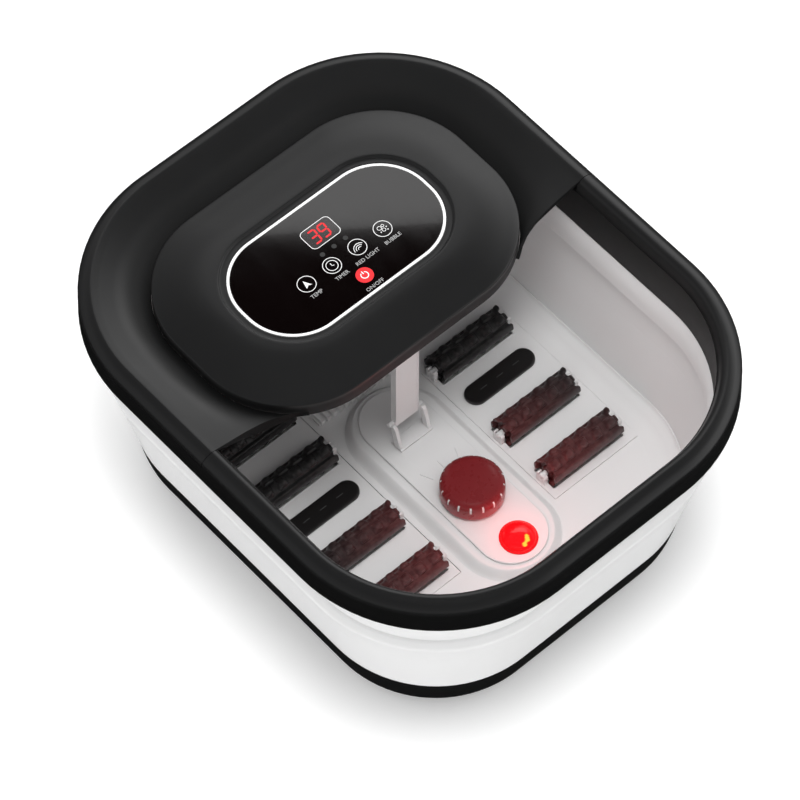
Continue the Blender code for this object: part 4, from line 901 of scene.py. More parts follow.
class ShapePod(bpy.types.Operator):
    """Makes the control pod: its wall, shallow dome and the stepped recess round the panel"""

    bl_idname = "spa.pod"
    bl_label = "Control pod"

    def execute(self, context):
        shell = settings("shell").shell
        pod, panel = pod_plan(), panel_plan()
        edge_z = RIM_TOP - 5 * MM
        crown = POD_HIGH[2]
        glass = BEZEL_HIGH[2]
        front = pod.at()
        rise = 3 * MM * smoothstep((POD_Y - 60 * MM - front[:, 1]) / (25 * MM))
        low = POD_LOW[2] + rise
        wall = [
            pod.rows(inset * MM, low + up * MM)[0]
            for inset, up in ((1.0, 0.0), (0.4, 0.4), (0.1, 1.4))
        ]
        wall += [pod.rows(0.0, edge_z - 4.5 * MM)[0], pod.rows(0.0, edge_z - 0.6 * MM)[0]]
        inner_edge, outer_ring = pod.at(6 * MM), panel.at(-6.4 * MM)

        def dome(share, height):
            return on_level(inner_edge + share * (outer_ring - inner_edge), height)

        shoulder = [wall[-1], pod.rows(0.1 * MM, edge_z)[0], pod.rows(0.5 * MM, edge_z + 0.55 * MM)[0]]
        shoulder += [pod.rows(1.3 * MM, edge_z + 1.0 * MM)[0], pod.rows(3.2 * MM, edge_z + 1.75 * MM)[0]]
        base = edge_z + 2.75 * MM
        shoulder += [dome(share, base + (crown - base) * math.sin(share * TURN / 4) ** 0.94)
                     for share in (0.0, 0.2, 0.4, 0.6, 0.8, 1.0)]
        groove = [panel.rows(inset * MM, height)[0] for inset, height in (
            (-6.4, crown), (-5.9, crown - 0.1 * MM), (-5.4, crown - 0.5 * MM), (-4.9, crown - 1.3 * MM),
            (-4.3, crown - 1.75 * MM), (-3.4, crown - 1.9 * MM),
            (-2.2, glass - 0.25 * MM), (-1.0, glass - 0.2 * MM))]
        seat = [panel.rows(inset * MM, height)[0] for inset, height in (
            (-0.3, glass - 0.3 * MM), (-0.3, BEZEL_LOW[2] - GAP), (4.0, BEZEL_LOW[2] - GAP),
            (4.0, BEZEL_LOW[2] - 2.1 * MM), (-5.0, BEZEL_LOW[2] - 2.1 * MM))]
        under = [dome(0.75, crown - 1.4 * MM - shell), dome(0.3, crown - 4.2 * MM - shell)]
        under += [
            pod.rows(inset * MM, edge_z + up * MM)[0]
            for inset, up in ((7, 0.6), (4.6, -1.6), (2.5, -5))
        ]
        under += [pod.rows(1.2 * MM + shell, low + 0.2 * MM)[0]]
        top = np.concatenate(
            [np.stack(wall[:-1]), smooth(np.stack(shoulder), 5)[:-1], smooth(np.stack(groove), 3)]
        )
        grid = np.concatenate([top, np.stack(seat), np.stack(under)])
        surface = Surface().loft(grid, ring=True)
        piece("pod", surface, LOOKS["black_gloss"], "rim", ["pod_cover"])
        return {"FINISHED"}


def ring_path(radius, centre, start=0.0, end=1.0, steps=40):
    """An arc about a centre, between two shares of a full turn."""
    closed = end - start >= 1.0
    angle = TURN * np.linspace(start, end, steps, endpoint=not closed)
    return np.asarray(centre) + radius * np.stack([np.cos(angle), np.sin(angle)], axis=1)


SEGMENTS = {  # ends of a digit's seven segments, as shares of its width and height
    "top": ((0.0, 1.0), (1.0, 1.0)),
    "middle": ((0.0, 0.5), (1.0, 0.5)),
    "bottom": ((0.0, 0.0), (1.0, 0.0)),
    "upper_left": ((0.0, 1.0), (0.0, 0.5)),
    "upper_right": ((1.0, 1.0), (1.0, 0.5)),
    "lower_left": ((0.0, 0.5), (0.0, 0.0)),
    "lower_right": ((1.0, 0.5), (1.0, 0.0)),
}
DARK_SEGMENTS = {
    "0": "middle",
    "1": "top middle bottom upper_left lower_left",
    "2": "upper_left lower_right",
    "3": "upper_left lower_left",
    "4": "top bottom lower_left",
    "5": "upper_right lower_left",
    "6": "upper_right",
    "7": "middle bottom upper_left lower_left",
    "8": "",
    "9": "lower_left",
}


def add_digit(surface, digit, corner, height, low, high):
    """Adds the lit segments of one seven-segment digit, leaning a little to the right."""
    width, thick = 0.52 * height, 0.13 * height
    dark = DARK_SEGMENTS[digit].split()
    for name, ends in SEGMENTS.items():
        if name in dark:
            continue
        ends = np.array(ends) * (width, height)
        along = ends[1] - ends[0]
        along = along / np.linalg.norm(along)
        side = np.array([-along[1], along[0]])
        a, b = ends[0] + along * 0.62 * thick, ends[1] - along * 0.62 * thick
        tip = 0.5 * thick
        along, side = along * tip, side * tip
        outline = np.array([a - along, a + side, b + side, b + along, b - side, a - side])
        outline[:, 0] += 0.1 * outline[:, 1]
        surface.extruded(outline + corner, low, high, axis="Z")


def word_mesh(word, size, centre, low, high):
    """A word as a flat mesh, its middle at centre."""
    curve = bpy.data.curves.new(word, "FONT")
    curve.body = word
    curve.size = size
    curve.align_x = "CENTER"
    curve.align_y = "CENTER"
    curve.extrude = (high - low) / 2
    curve.resolution_u = 2
    obj = bpy.data.objects.new(word, curve)
    bpy.context.scene.collection.objects.link(obj)
    bpy.context.view_layer.update()
    mesh = bpy.data.meshes.new_from_object(obj.evaluated_get(bpy.context.evaluated_depsgraph_get()))
    points = np.empty(len(mesh.vertices) * 3)
    mesh.vertices.foreach_get("co", points)
    points = points.reshape(-1, 3) + (centre[0], centre[1], (low + high) / 2)
    faces = [list(polygon.vertices) for polygon in mesh.polygons]
    bpy.data.objects.remove(obj)
    bpy.data.curves.remove(curve)
    bpy.data.meshes.remove(mesh)
    return points, faces


class ShapePanel(bpy.types.Operator):
    """Makes the panel: white ring, black glass, display window and what is printed on the glass"""

    bl_idname = "spa.panel"
    bl_label = "Control panel"

    def execute(self, context):
        sizes = settings("hood")
        plan = panel_plan()
        top = BEZEL_HIGH[2]
        low = BEZEL_LOW[2]
        width = sizes.bezel
        ring = plan.rows(
            [0.0, 0.0, 0.25 * MM, width / 2, width - 0.25 * MM, width, width],
            [low, top - 0.25 * MM, top - 0.04 * MM, top, top - 0.04 * MM, top - 0.25 * MM, low],
        )
        piece(
            "bezel",
            Surface().loft(ring, ring=True),
            LOOKS["ink_white"],
            "rim",
            ["bezel_ring"],
        )
        glass = Surface().loft(
            plan.rows(
                [width + 0.1 * MM, width + 0.1 * MM, width + 0.35 * MM],
                [low, top - 0.3 * MM, top - 0.1 * MM],
            )
        )
        piece("panel_glass", glass, LOOKS["glass"], "rim", ["touch_panel"])
        self.prints(sizes, top - 0.12 * MM)
        return {"FINISHED"}

    def prints(self, sizes, face):
        """The printed rings, icons, dots, words, display and digits, on the glass."""
        low, high = face, face + 0.09 * MM
        line = sizes.line
        white, red, grey, dark = Surface(), Surface(), Surface(), Surface()
        row = PANEL_Y - sizes.icon_row
        places = [((i - 1.5) * sizes.icon_pitch, row) for i in range(4)]
        for place in places:
            white.stroke(ring_path(sizes.icon_radius, place), line, low, high, closed=True)
        self.pointer(white, places[0], low, high)
        self.clock(white, places[1], line, low, high)
        self.rays(white, places[2], line, low, high)
        self.bubbles(white, places[3], line, low, high)
        power = (0.0, PANEL_Y - 28.3 * MM)
        red.turned([(0, low), (6.2 * MM, low), (6.2 * MM, high), (0, high)], (*power, 0.0))
        white.stroke(ring_path(2.6 * MM, power, 0.33, 1.17), 0.7 * MM, high, high + 0.05 * MM)
        bar = [(power[0], power[1] + 1.0 * MM), (power[0], power[1] + 3.6 * MM)]
        white.stroke(bar, 0.7 * MM, high, high + 0.05 * MM)
        for x in (-10.2, 0.0, 10.2):
            dot = (x * MM, PANEL_Y + 2.8 * MM, 0.0)
            dark.turned([(0, low), (1.8 * MM, low), (1.8 * MM, high), (0, high)], dot, steps=20)
        window = (0.3 * MM, PANEL_Y + 17.1 * MM)
        frame_plan = Plan(12.4 * MM, 8.4 * MM, 3.5 * MM, window, arc=8)
        white.stroke(frame_plan.at(), line, low, high, closed=True)
        display = Surface().slab(
            Plan(11.9 * MM, 7.9 * MM, 3.1 * MM, window, arc=8), low - 0.02 * MM, high, 0.03 * MM
        )
        piece("display_window", display, LOOKS["display"], "rim")
        digits = sizes.reading
        pitch = 0.78 * sizes.digit
        for place, digit in enumerate(digits):
            x = window[0] + (place - len(digits) / 2) * pitch
            add_digit(red, digit, (x, window[1] - sizes.digit / 2), sizes.digit, high, high + 0.05 * MM)
        words = [("TEMP", places[0]), ("TIMER", places[1]), ("RED LIGHT", places[2]), ("BUBBLE", places[3])]
        for word, place in words + [("ON/OFF", power)]:
            points, faces = word_mesh(word, sizes.letters, (place[0], place[1] - 10.6 * MM), low, high)
            grey.add(points, faces)
        piece("panel_prints", white, LOOKS["ink_white"], "rim", sharp=60)
        piece("panel_red", red, LOOKS["ink_red"], "rim", sharp=60)
        piece("panel_words", grey, LOOKS["ink_grey"], "rim", sharp=60)
        piece("panel_dots", dark, LOOKS["ink_dark"], "rim", sharp=60)

    def pointer(self, surface, place, low, high):
        """A notched arrowhead."""
        outline = np.array([(-0.6, 3.4), (2.6, -2.6), (0.3, -1.5), (-2.3, -3.1)]) * MM
        surface.extruded(outline + place, low, high, axis="Z")

    def clock(self, surface, place, line, low, high):
        """A dial with two hands."""
        x, y = place
        surface.stroke(ring_path(4.1 * MM, place), line, low, high, closed=True)
        surface.stroke([(x, y + 2.1 * MM), (x, y), (x + 1.5 * MM, y - 0.7 * MM)], line, low, high)

    def rays(self, surface, place, line, low, high):
        """Three arcs about one corner."""
        centre = np.asarray(place) + (0.9 * MM, -2.4 * MM)
        for radius in (1.5, 3.1, 4.7):
            surface.stroke(ring_path(radius * MM, centre, 0.1, 0.5, steps=16), line, low, high)

    def bubbles(self, surface, place, line, low, high):
        """Three rings of different sizes and three dots."""
        x, y = place
        for shift_x, shift_y, radius in ((-1.6, 1.6, 1.5), (1.5, 2.0, 1.0), (0.2, -1.2, 1.3)):
            centre = (x + shift_x * MM, y + shift_y * MM)
            surface.stroke(ring_path(radius * MM, centre, steps=20), line * 0.8, low, high, closed=True)
        for shift_x, shift_y in ((3.0, -0.2), (2.6, -2.6), (-2.6, -1.6)):
            dot = [(0, low), (0.45 * MM, low), (0.45 * MM, high), (0, high)]
            surface.turned(dot, (x + shift_x * MM, y + shift_y * MM, 0.0), steps=12)


# ---------------------------------------------------------------- folding wall and base


def wall_inset(height):
    """The soft wall's outer inset at a height: a straight taper from the base up to the waist's
    shoulder."""
    sizes = settings("shell")
    slope = (sizes.base_inset - sizes.waist_inset) / (WAIST_HIGH[2] - 7 * MM - BASE_TOP)
    return sizes.base_inset - slope * (height - BASE_TOP)


class ShapeFolds(bpy.types.Operator):
    """Makes the soft lower and upper walls, which fold, and the waist band between them"""

    bl_idname = "spa.folds"
    bl_label = "Folding wall"

    def execute(self, context):
        sizes = settings("shell")
        plan = tub_plan(cuts=(-50 * MM, 0.0, 50 * MM))
        wall = sizes.fold_wall
        low, high = BASE_TOP + SEAM_GAP, WAIST_LOW[2] - SEAM_GAP
        heights = np.linspace(low, high, 22)
        outer = np.array([wall_inset(z) for z in heights])
        grid = plan.rows(
            np.concatenate([outer, (outer + wall)[::-1]]), np.concatenate([heights, heights[::-1]])
        )
        lower = piece(
            "lower_wall",
            Surface().loft(grid, ring=True),
            LOOKS["soft_white"],
            None,
            ["lower_fold"],
        )
        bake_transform(lower)
        self.waist(plan, sizes)
        self.upper(plan, sizes)
        return {"FINISHED"}

    def waist(self, plan, sizes):
        """The stiff band: its shoulder swells outwards and rolls in to the upper fold."""
        low, high = WAIST_LOW[2], WAIST_HIGH[2]
        shoulder = high - 7 * MM
        inset = sizes.waist_inset
        outer = np.array([
            (wall_inset(low), low), (wall_inset(low + 6 * MM), low + 6 * MM),
            (inset + 0.45 * MM, shoulder - 4 * MM), (inset - 0.45 * MM, shoulder - 1 * MM),
            (inset - 0.9 * MM, shoulder + 1.2 * MM), (inset - 0.5 * MM, shoulder + 3.0 * MM),
            (inset + 0.9 * MM, high - 2.4 * MM), (inset + 2.6 * MM, high - 0.8 * MM),
            (inset + 4.3 * MM, high),
        ])
        outer = smooth(outer, 5)
        inner = np.array([
            (inset + 6.4 * MM, high), (inset + 3.0 * MM, shoulder),
            (wall_inset(low) + sizes.fold_wall, low),
        ])
        profile = np.concatenate([outer, inner])
        surface = Surface().loft(plan.rows(profile[:, 0], profile[:, 1]), ring=True)
        piece("waist_band", surface, LOOKS["soft_white"], "waist", ["waist_ring"])

    def upper(self, plan, sizes):
        """The upper fold, bowed inwards between the waist and the rim."""
        low, high = WAIST_HIGH[2] + SEAM_GAP, RING_BOTTOM - GAP
        rise = high - low
        outer = smooth(
            np.array([
                (sizes.waist_inset + 4.3 * MM, low), (sizes.waist_inset + 4.7 * MM, low + 0.22 * rise),
                (sizes.waist_inset + 4.2 * MM, low + 0.5 * rise),
                (sizes.waist_inset + 2.6 * MM, low + 0.78 * rise), (sizes.ring_inset, high),
            ]),
            5,
        )
        inner = [(3.0 * MM, high), (5.6 * MM, low + 0.5 * rise), (6.4 * MM, low)]
        inner = np.array(inner) + (sizes.waist_inset, 0.0)
        profile = np.concatenate([outer, smooth(inner, 5)])
        surface = Surface().loft(plan.rows(profile[:, 0], profile[:, 1]), ring=True)
        upper = piece("upper_wall", surface, LOOKS["soft_white"], "waist", ["upper_fold"])
        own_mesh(upper)


class ShapeBase(bpy.types.Operator):
    """Makes the black bowl under the tub, its feet and the cord's gland"""

    bl_idname = "spa.base"
    bl_label = "Base"

    def execute(self, context):
        sizes = settings("shell")
        plan = tub_plan()
        foot = BASE_LOW[2]
        outer = smooth(
            np.array([
                (58 * MM, foot), (48 * MM, foot + 1.4 * MM), (40.4 * MM, foot + 4.8 * MM),
                (sizes.edge_inset, foot + 10.5 * MM), (sizes.base_inset + 2.2 * MM, foot + 22 * MM),
                (sizes.base_inset, BASE_TOP),
            ]),
            5,
        )
        inner = np.array([
            (sizes.base_inset + sizes.shell, BASE_TOP),
            (sizes.base_inset + sizes.shell + 2 * MM, foot + 22 * MM),
            (sizes.edge_inset + sizes.shell, foot + 11 * MM), (43 * MM, foot + 6.6 * MM),
            (50 * MM, foot + 3.8 * MM), (58 * MM, foot + sizes.shell),
        ])
        profile = np.concatenate([outer, inner])
        surface = Surface().loft(plan.rows(profile[:, 0], profile[:, 1]))
        piece("base", surface, LOOKS["black_satin"], "base", ["base_cover"])
        self.feet()
        self.gland()
        self.screws()
        return {"FINISHED"}

    def feet(self):
        """Four rubber feet, each with two rings moulded in its tread."""
        for end in ("front", "back"):
            for side in SIDES:
                node = f"foot_{end}_{side}"
                low, high = span(node)
                radius = (high[0] - low[0]) / 2
                middle = (low + high) / 2
                tread = [
                    (0, 0), (3, 0), (3.3, 0.5), (4.2, 0.5), (4.5, 0), (6.4, 0), (6.7, 0.5), (7.4, 0.5),
                    (7.7, 0),
                ]
                profile = [(r * MM, z * MM) for r, z in tread]
                profile += [
                    (radius - 1.2 * MM, 0), (radius - 0.4 * MM, 0.5 * MM), (radius, 1.4 * MM),
                    (radius, high[2]),
                ]
                profile += [(0, high[2])]
                surface = Surface().turned(profile, (middle[0], middle[1], 0.0))
                piece(f"rubber_{node}", surface, LOOKS["rubber"], "base", [node])

    def gland(self):
        """A ribbed bush in the back of the base, open through its middle for the cord."""
        low, high = span("cord_gland")
        middle = (low + high) / 2
        back = high[1]
        bore = 2.6 * MM
        profile = [
            (bore, 0), (5.2 * MM, 0), (5.6 * MM, -0.5 * MM), (5.6 * MM, -1.0 * MM), (4.9 * MM, -1.3 * MM)
        ]
        profile += [
            (4.9 * MM, -1.9 * MM), (8.1 * MM, -2.1 * MM), (8.5 * MM, -2.5 * MM), (8.5 * MM, -3.6 * MM)
        ]
        profile += [(6.5 * MM, -3.8 * MM), (6.5 * MM, -13 * MM), (bore, -13 * MM)]
        profile = np.array(profile)
        angle = np.linspace(0.0, TURN, 40, endpoint=False)
        radius = profile[:, :1]
        height = np.repeat(profile[:, 1:2], len(angle), axis=1)
        grid = np.stack([radius * np.cos(angle), height, radius * np.sin(angle)], axis=-1)
        surface = Surface().loft(grid + (middle[0], back, middle[2]), ring=True)
        piece("cord_bush", surface, LOOKS["rubber"], "base", ["cord_gland"])

    def screws(self):
        """Pan-head screws in the base and in the hood's tray, each with a cross recess."""
        for body, nodes in (
            ("base", [f"base_screw_{number + 1}" for number in range(4)]),
            ("rim", ["tray_screw_left", "tray_screw_right"]),
        ):
            for node in nodes:
                low, high = span(node)
                middle = (low + high) / 2
                surface = Surface().loft(screw_grid(middle, low[2], high[2]))
                piece(f"steel_{node}", surface, LOOKS["steel"], body, [node])


def screw_grid(middle, low, high):
    """A screw that points up: a shank with threads, and a domed head whose recess is a cross, where the
    depth falls off with the smaller of |x| and |y|."""
    angle = np.linspace(0.0, TURN, 48, endpoint=False)
    head = 4 * MM * np.sqrt(np.linspace(0.004, 1.0, 14))
    x, y = head[:, None] * np.cos(angle), head[:, None] * np.sin(angle)
    cross = plateau(np.minimum(np.abs(x), np.abs(y)), 0.45 * MM, 0.3 * MM) * plateau(
        np.hypot(x, y), 2.0 * MM, 0.5 * MM
    )
    dome = 0.9 * MM * (np.hypot(x, y) / (4 * MM)) ** 2
    under = np.stack([x, y, low + dome + 1.2 * MM * cross], axis=-1)
    shank_z = np.linspace(low + 2.2 * MM, high - 1 * MM, 60)
    thread = 2 * MM * (0.9 + 0.1 * np.abs(np.sin(shank_z / (1.2 * MM) * math.pi)))
    keys = np.concatenate(
        [[(4 * MM, low + 2.1 * MM), (2 * MM, low + 2.2 * MM)], np.stack([thread, shank_z], axis=1)]
    )
    keys = np.concatenate([keys, [(0.1 * MM, high)]])
    upper = turned_rows(*keys.T, angle)
    return np.concatenate([under, upper]) + (middle[0], middle[1], 0.0)


# ---------------------------------------------------------------- floor


class ShapePan(bpy.types.Operator):
    """Makes the floor of the tub: rising edge, flat floor, roller recesses and the raised middle with
    its well"""

    bl_idname = "spa.pan"
    bl_label = "Floor pan"

    def execute(self, context):
        shell, sizes = settings("shell"), settings("floor")
        surface = Surface()
        self.edge(surface, shell, sizes)
        self.flat(surface, shell, sizes)
        self.mound(surface, shell, sizes)
        piece("floor_pan", surface, LOOKS["white_plastic"], "base", ["tub_pan"])
        self.plate(sizes)
        self.grille()
        return {"FINISHED"}

    def edge(self, surface, shell, sizes):
        """The rising edge: a concave curve from the flat floor up to a thin lip against the soft wall."""
        lip = PAN_HIGH[2] if PAN_HIGH[2] < FLOOR + 6 * MM else BASE_TOP + 7 * MM
        lip_inset = wall_inset(lip) + shell.fold_wall + GAP
        inner = smooth(
            np.array([
                (lip_inset + 0.9 * MM, lip), (lip_inset + 2.6 * MM, lip - 1.8 * MM),
                (lip_inset + 7 * MM, FLOOR + 2.2 * MM), (sizes.floor_inset - 9 * MM, FLOOR + 0.6 * MM),
                (sizes.floor_inset + 0.5 * MM, FLOOR + 0.01 * MM),
            ]),
            6,
        )
        under = np.array([
            (sizes.floor_inset + 0.5 * MM, FLOOR - shell.shell),
            (shell.base_inset + 9 * MM, FLOOR - shell.shell),
            (lip_inset + 1.5 * MM, BASE_TOP + 0.6 * MM), (lip_inset, lip - 0.4 * MM),
        ])
        profile = np.concatenate([inner, under])
        surface.loft(tub_plan().rows(profile[:, 0], profile[:, 1]), ring=True)

    def flat(self, surface, shell, sizes):
        """The flat floor: a plate clipped to the outline, open over the recesses and under the raised
        middle. Each recess is a box open at the top."""
        half_y = HALF_Y - sizes.floor_inset
        tray_x = (TRAY_LOW[0] - GAP, TRAY_HIGH[0] + GAP)
        tray_y = (TRAY_LOW[1] - GAP, TRAY_HIGH[1] + GAP)
        hole_x, hole_y = sizes.mound_foot - 4 * MM, (PLATE_LOW[1] + 20 * MM, PLATE_HIGH[1] - 20 * MM)
        curve = shell.corner - sizes.floor_inset
        bow = half_y - curve + curve * np.sin(np.linspace(0.0, TURN / 4, 24))
        ys = np.unique(np.concatenate([-bow, bow, tray_y, hole_y]))
        xs = np.array(
            sorted([-x for x in tray_x] + list(tray_x) + [-hole_x, hole_x, -0.2, 0.2, -0.082, 0.082, 0.0])
        )
        core = shell.corner
        reach_y = np.maximum(np.abs(ys) - (HALF_Y - core), 0.0)
        limit = (HALF_X - core) + np.sqrt(np.maximum(curve**2 - reach_y**2, 0.0))
        grid_y, grid_x = np.meshgrid(ys, xs, indexing="ij")
        grid_x = np.clip(grid_x, -limit[:, None], limit[:, None])
        middle_y, middle_x = np.meshgrid((ys[1:] + ys[:-1]) / 2, (xs[1:] + xs[:-1]) / 2, indexing="ij")
        in_tray = (np.abs(middle_x) > tray_x[0]) & (np.abs(middle_x) < tray_x[1])
        in_tray &= (middle_y > tray_y[0]) & (middle_y < tray_y[1])
        in_hole = (np.abs(middle_x) < hole_x) & (middle_y > hole_y[0]) & (middle_y < hole_y[1])
        top = np.stack([grid_x, grid_y, np.full_like(grid_x, FLOOR)], axis=-1)
        under = top - (0.0, 0.0, shell.shell)
        surface.pierced(top, under, ~(in_tray | in_hole))
        for side in SIDES.values():
            centre = (side * sum(tray_x) / 2, sum(tray_y) / 2)
            half_x, half = (tray_x[1] - tray_x[0]) / 2, (tray_y[1] - tray_y[0]) / 2
            plan = Plan(half_x, half, 1 * MM, centre, arc=2)
            floor = FLOOR - sizes.recess
            inset = np.array([0.6 * MM, 0.0, 0.0, -shell.shell, -shell.shell])
            height = np.array(
                [floor, floor + 0.6 * MM, FLOOR - 0.1 * MM, FLOOR - 0.1 * MM, floor - shell.shell]
            )
            surface.loft(plan.rows(inset, height))

    def mound(self, surface, shell, sizes):
        """The raised middle: its foot curves up to a flat top, which narrows along rays to the herb
        well."""
        back, front = PLATE_HIGH[1], PLATE_LOW[1]
        foot = stadium_plan(sizes.mound_foot, back + 8 * MM, front - 8 * MM).at()
        crest = stadium_plan(sizes.mound_top, back + 3 * MM, front - 3 * MM).at()
        top = FLOOR + sizes.mound_rise
        rows = [on_level(foot, FLOOR - 1 * MM), on_level(foot, FLOOR + 0.02 * MM)]
        shares = np.array([0.08, 0.18, 0.3, 0.42, 0.55, 0.68, 0.8, 0.9, 1.0])
        rises = 0.6 * smoothstep(shares) + 0.4 * shares
        rows += [
            on_level(foot + s * (crest - foot), FLOOR + r * (top - FLOOR))
            for s, r in zip(shares, rises)
        ]
        centre = np.array([0.0, HERB_Y])
        ray = crest - centre
        ray /= np.linalg.norm(ray, axis=1, keepdims=True)
        well = centre + ray * sizes.well
        flat = crest + 0.02 * (well - crest)
        rows += [on_level(flat, top + 0.02 * MM), on_level(well + ray * 0.6 * MM, top)]
        bottom = BASKET_LOW[2] - 1 * MM
        rows += [
            on_level(well, top - 0.6 * MM),
            on_level(well, bottom + 1 * MM),
            on_level(well - ray * MM, bottom),
        ]
        rows += [on_level(well - ray * 3 * MM, bottom)]
        inner = [
            on_level(well - ray * 3 * MM, bottom - shell.shell),
            on_level(well + ray * shell.shell, bottom - shell.shell),
        ]
        inner += [on_level(well + ray * shell.shell, top - shell.shell)]
        inner += [on_level(crest + 0.05 * (well - crest), top - shell.shell)]
        inner += [on_level(foot + 0.06 * (crest - foot), FLOOR - 1 * MM)]
        disc = [on_level(centre + ray * 0.2 * MM, bottom)]
        outer = np.stack(rows + disc)
        lower = np.stack([on_level(centre + ray * 0.2 * MM, bottom - shell.shell)] + inner)
        surface.loft(np.concatenate([outer, lower]), ring=True)

    def plate(self, sizes):
        """The plate on the raised middle: round ends, an eased edge, and the herb well through it."""
        back, front = PLATE_HIGH[1], PLATE_LOW[1]
        low, high = PLATE_LOW[2], PLATE_HIGH[2]
        plan = stadium_plan((PLATE_HIGH[0] - PLATE_LOW[0]) / 2, back, front)
        outline = plan.at()
        centre = np.array([0.0, HERB_Y])
        ray = outline - centre
        ray /= np.linalg.norm(ray, axis=1, keepdims=True)
        well = centre + ray * sizes.well
        rows = [on_level(well, low), on_level(plan.at(0.3 * MM), low)]
        rows += [
            on_level(plan.at(inset * MM), high - drop * MM)
            for inset, drop in ((0, 1.6), (0, 0.7), (0.2, 0.25), (0.75, 0))
        ]
        rows += [
            on_level(plan.at(1.2 * MM), high),
            on_level(well + ray * 0.5 * MM, high),
            on_level(well, high - 0.5 * MM),
        ]
        surface = Surface().loft(np.stack(rows), ring=True)
        for x in (-12 * MM, 0.0, 12 * MM):
            lean = x * 0.35
            path = smooth(np.array([(x, HERB_Y + 26 * MM), (x + lean, HERB_Y + 35 * MM)]), 2)
            along = (path[-1] - path[0]) / np.linalg.norm(path[-1] - path[0])
            side = np.array([-along[1], along[0]]) * 0.7 * MM
            outline = np.array([path[0] - side, path[0] + side, path[-1] + side, path[-1] - side])
            surface.extruded(outline, high - 0.2 * MM, high + 0.7 * MM, axis="Z")
        piece(
            "plate",
            surface,
            LOOKS["white_plastic"],
            "base",
            ["centre_plate"],
            bevel=0.15 * MM,
        )

    def grille(self):
        """The bubble outlet: a low bar with a comb of round-topped teeth."""
        low, high = span("bubble_grille")
        surface = Surface()
        surface.block((low[0], low[1] + 1.5 * MM, low[2]), (high[0], high[1], low[2] + 2.4 * MM), 0.5 * MM)
        surface.block((low[0], high[1] - 3 * MM, low[2] + 2 * MM), (high[0], high[1], high[2]), 0.8 * MM)
        teeth = 14
        pitch = (high[0] - low[0]) / teeth
        for tooth in range(teeth):
            x = low[0] + (tooth + 0.5) * pitch
            half = 0.3 * pitch
            surface.block(
                (x - half, low[1], low[2] + 0.4 * MM), (x + half, high[1] - 1 * MM, high[2] - 0.3 * MM),
                0.8 * MM,
            )
        piece("bubble_comb", surface, LOOKS["white_plastic"], "base", ["bubble_grille"])


def roller_spans(side):
    """Each roller's lowest and highest corner on one side of the tub, front row first."""
    return [span(f"roller_{side}_{row + 1}") for row in range(ROWS)]


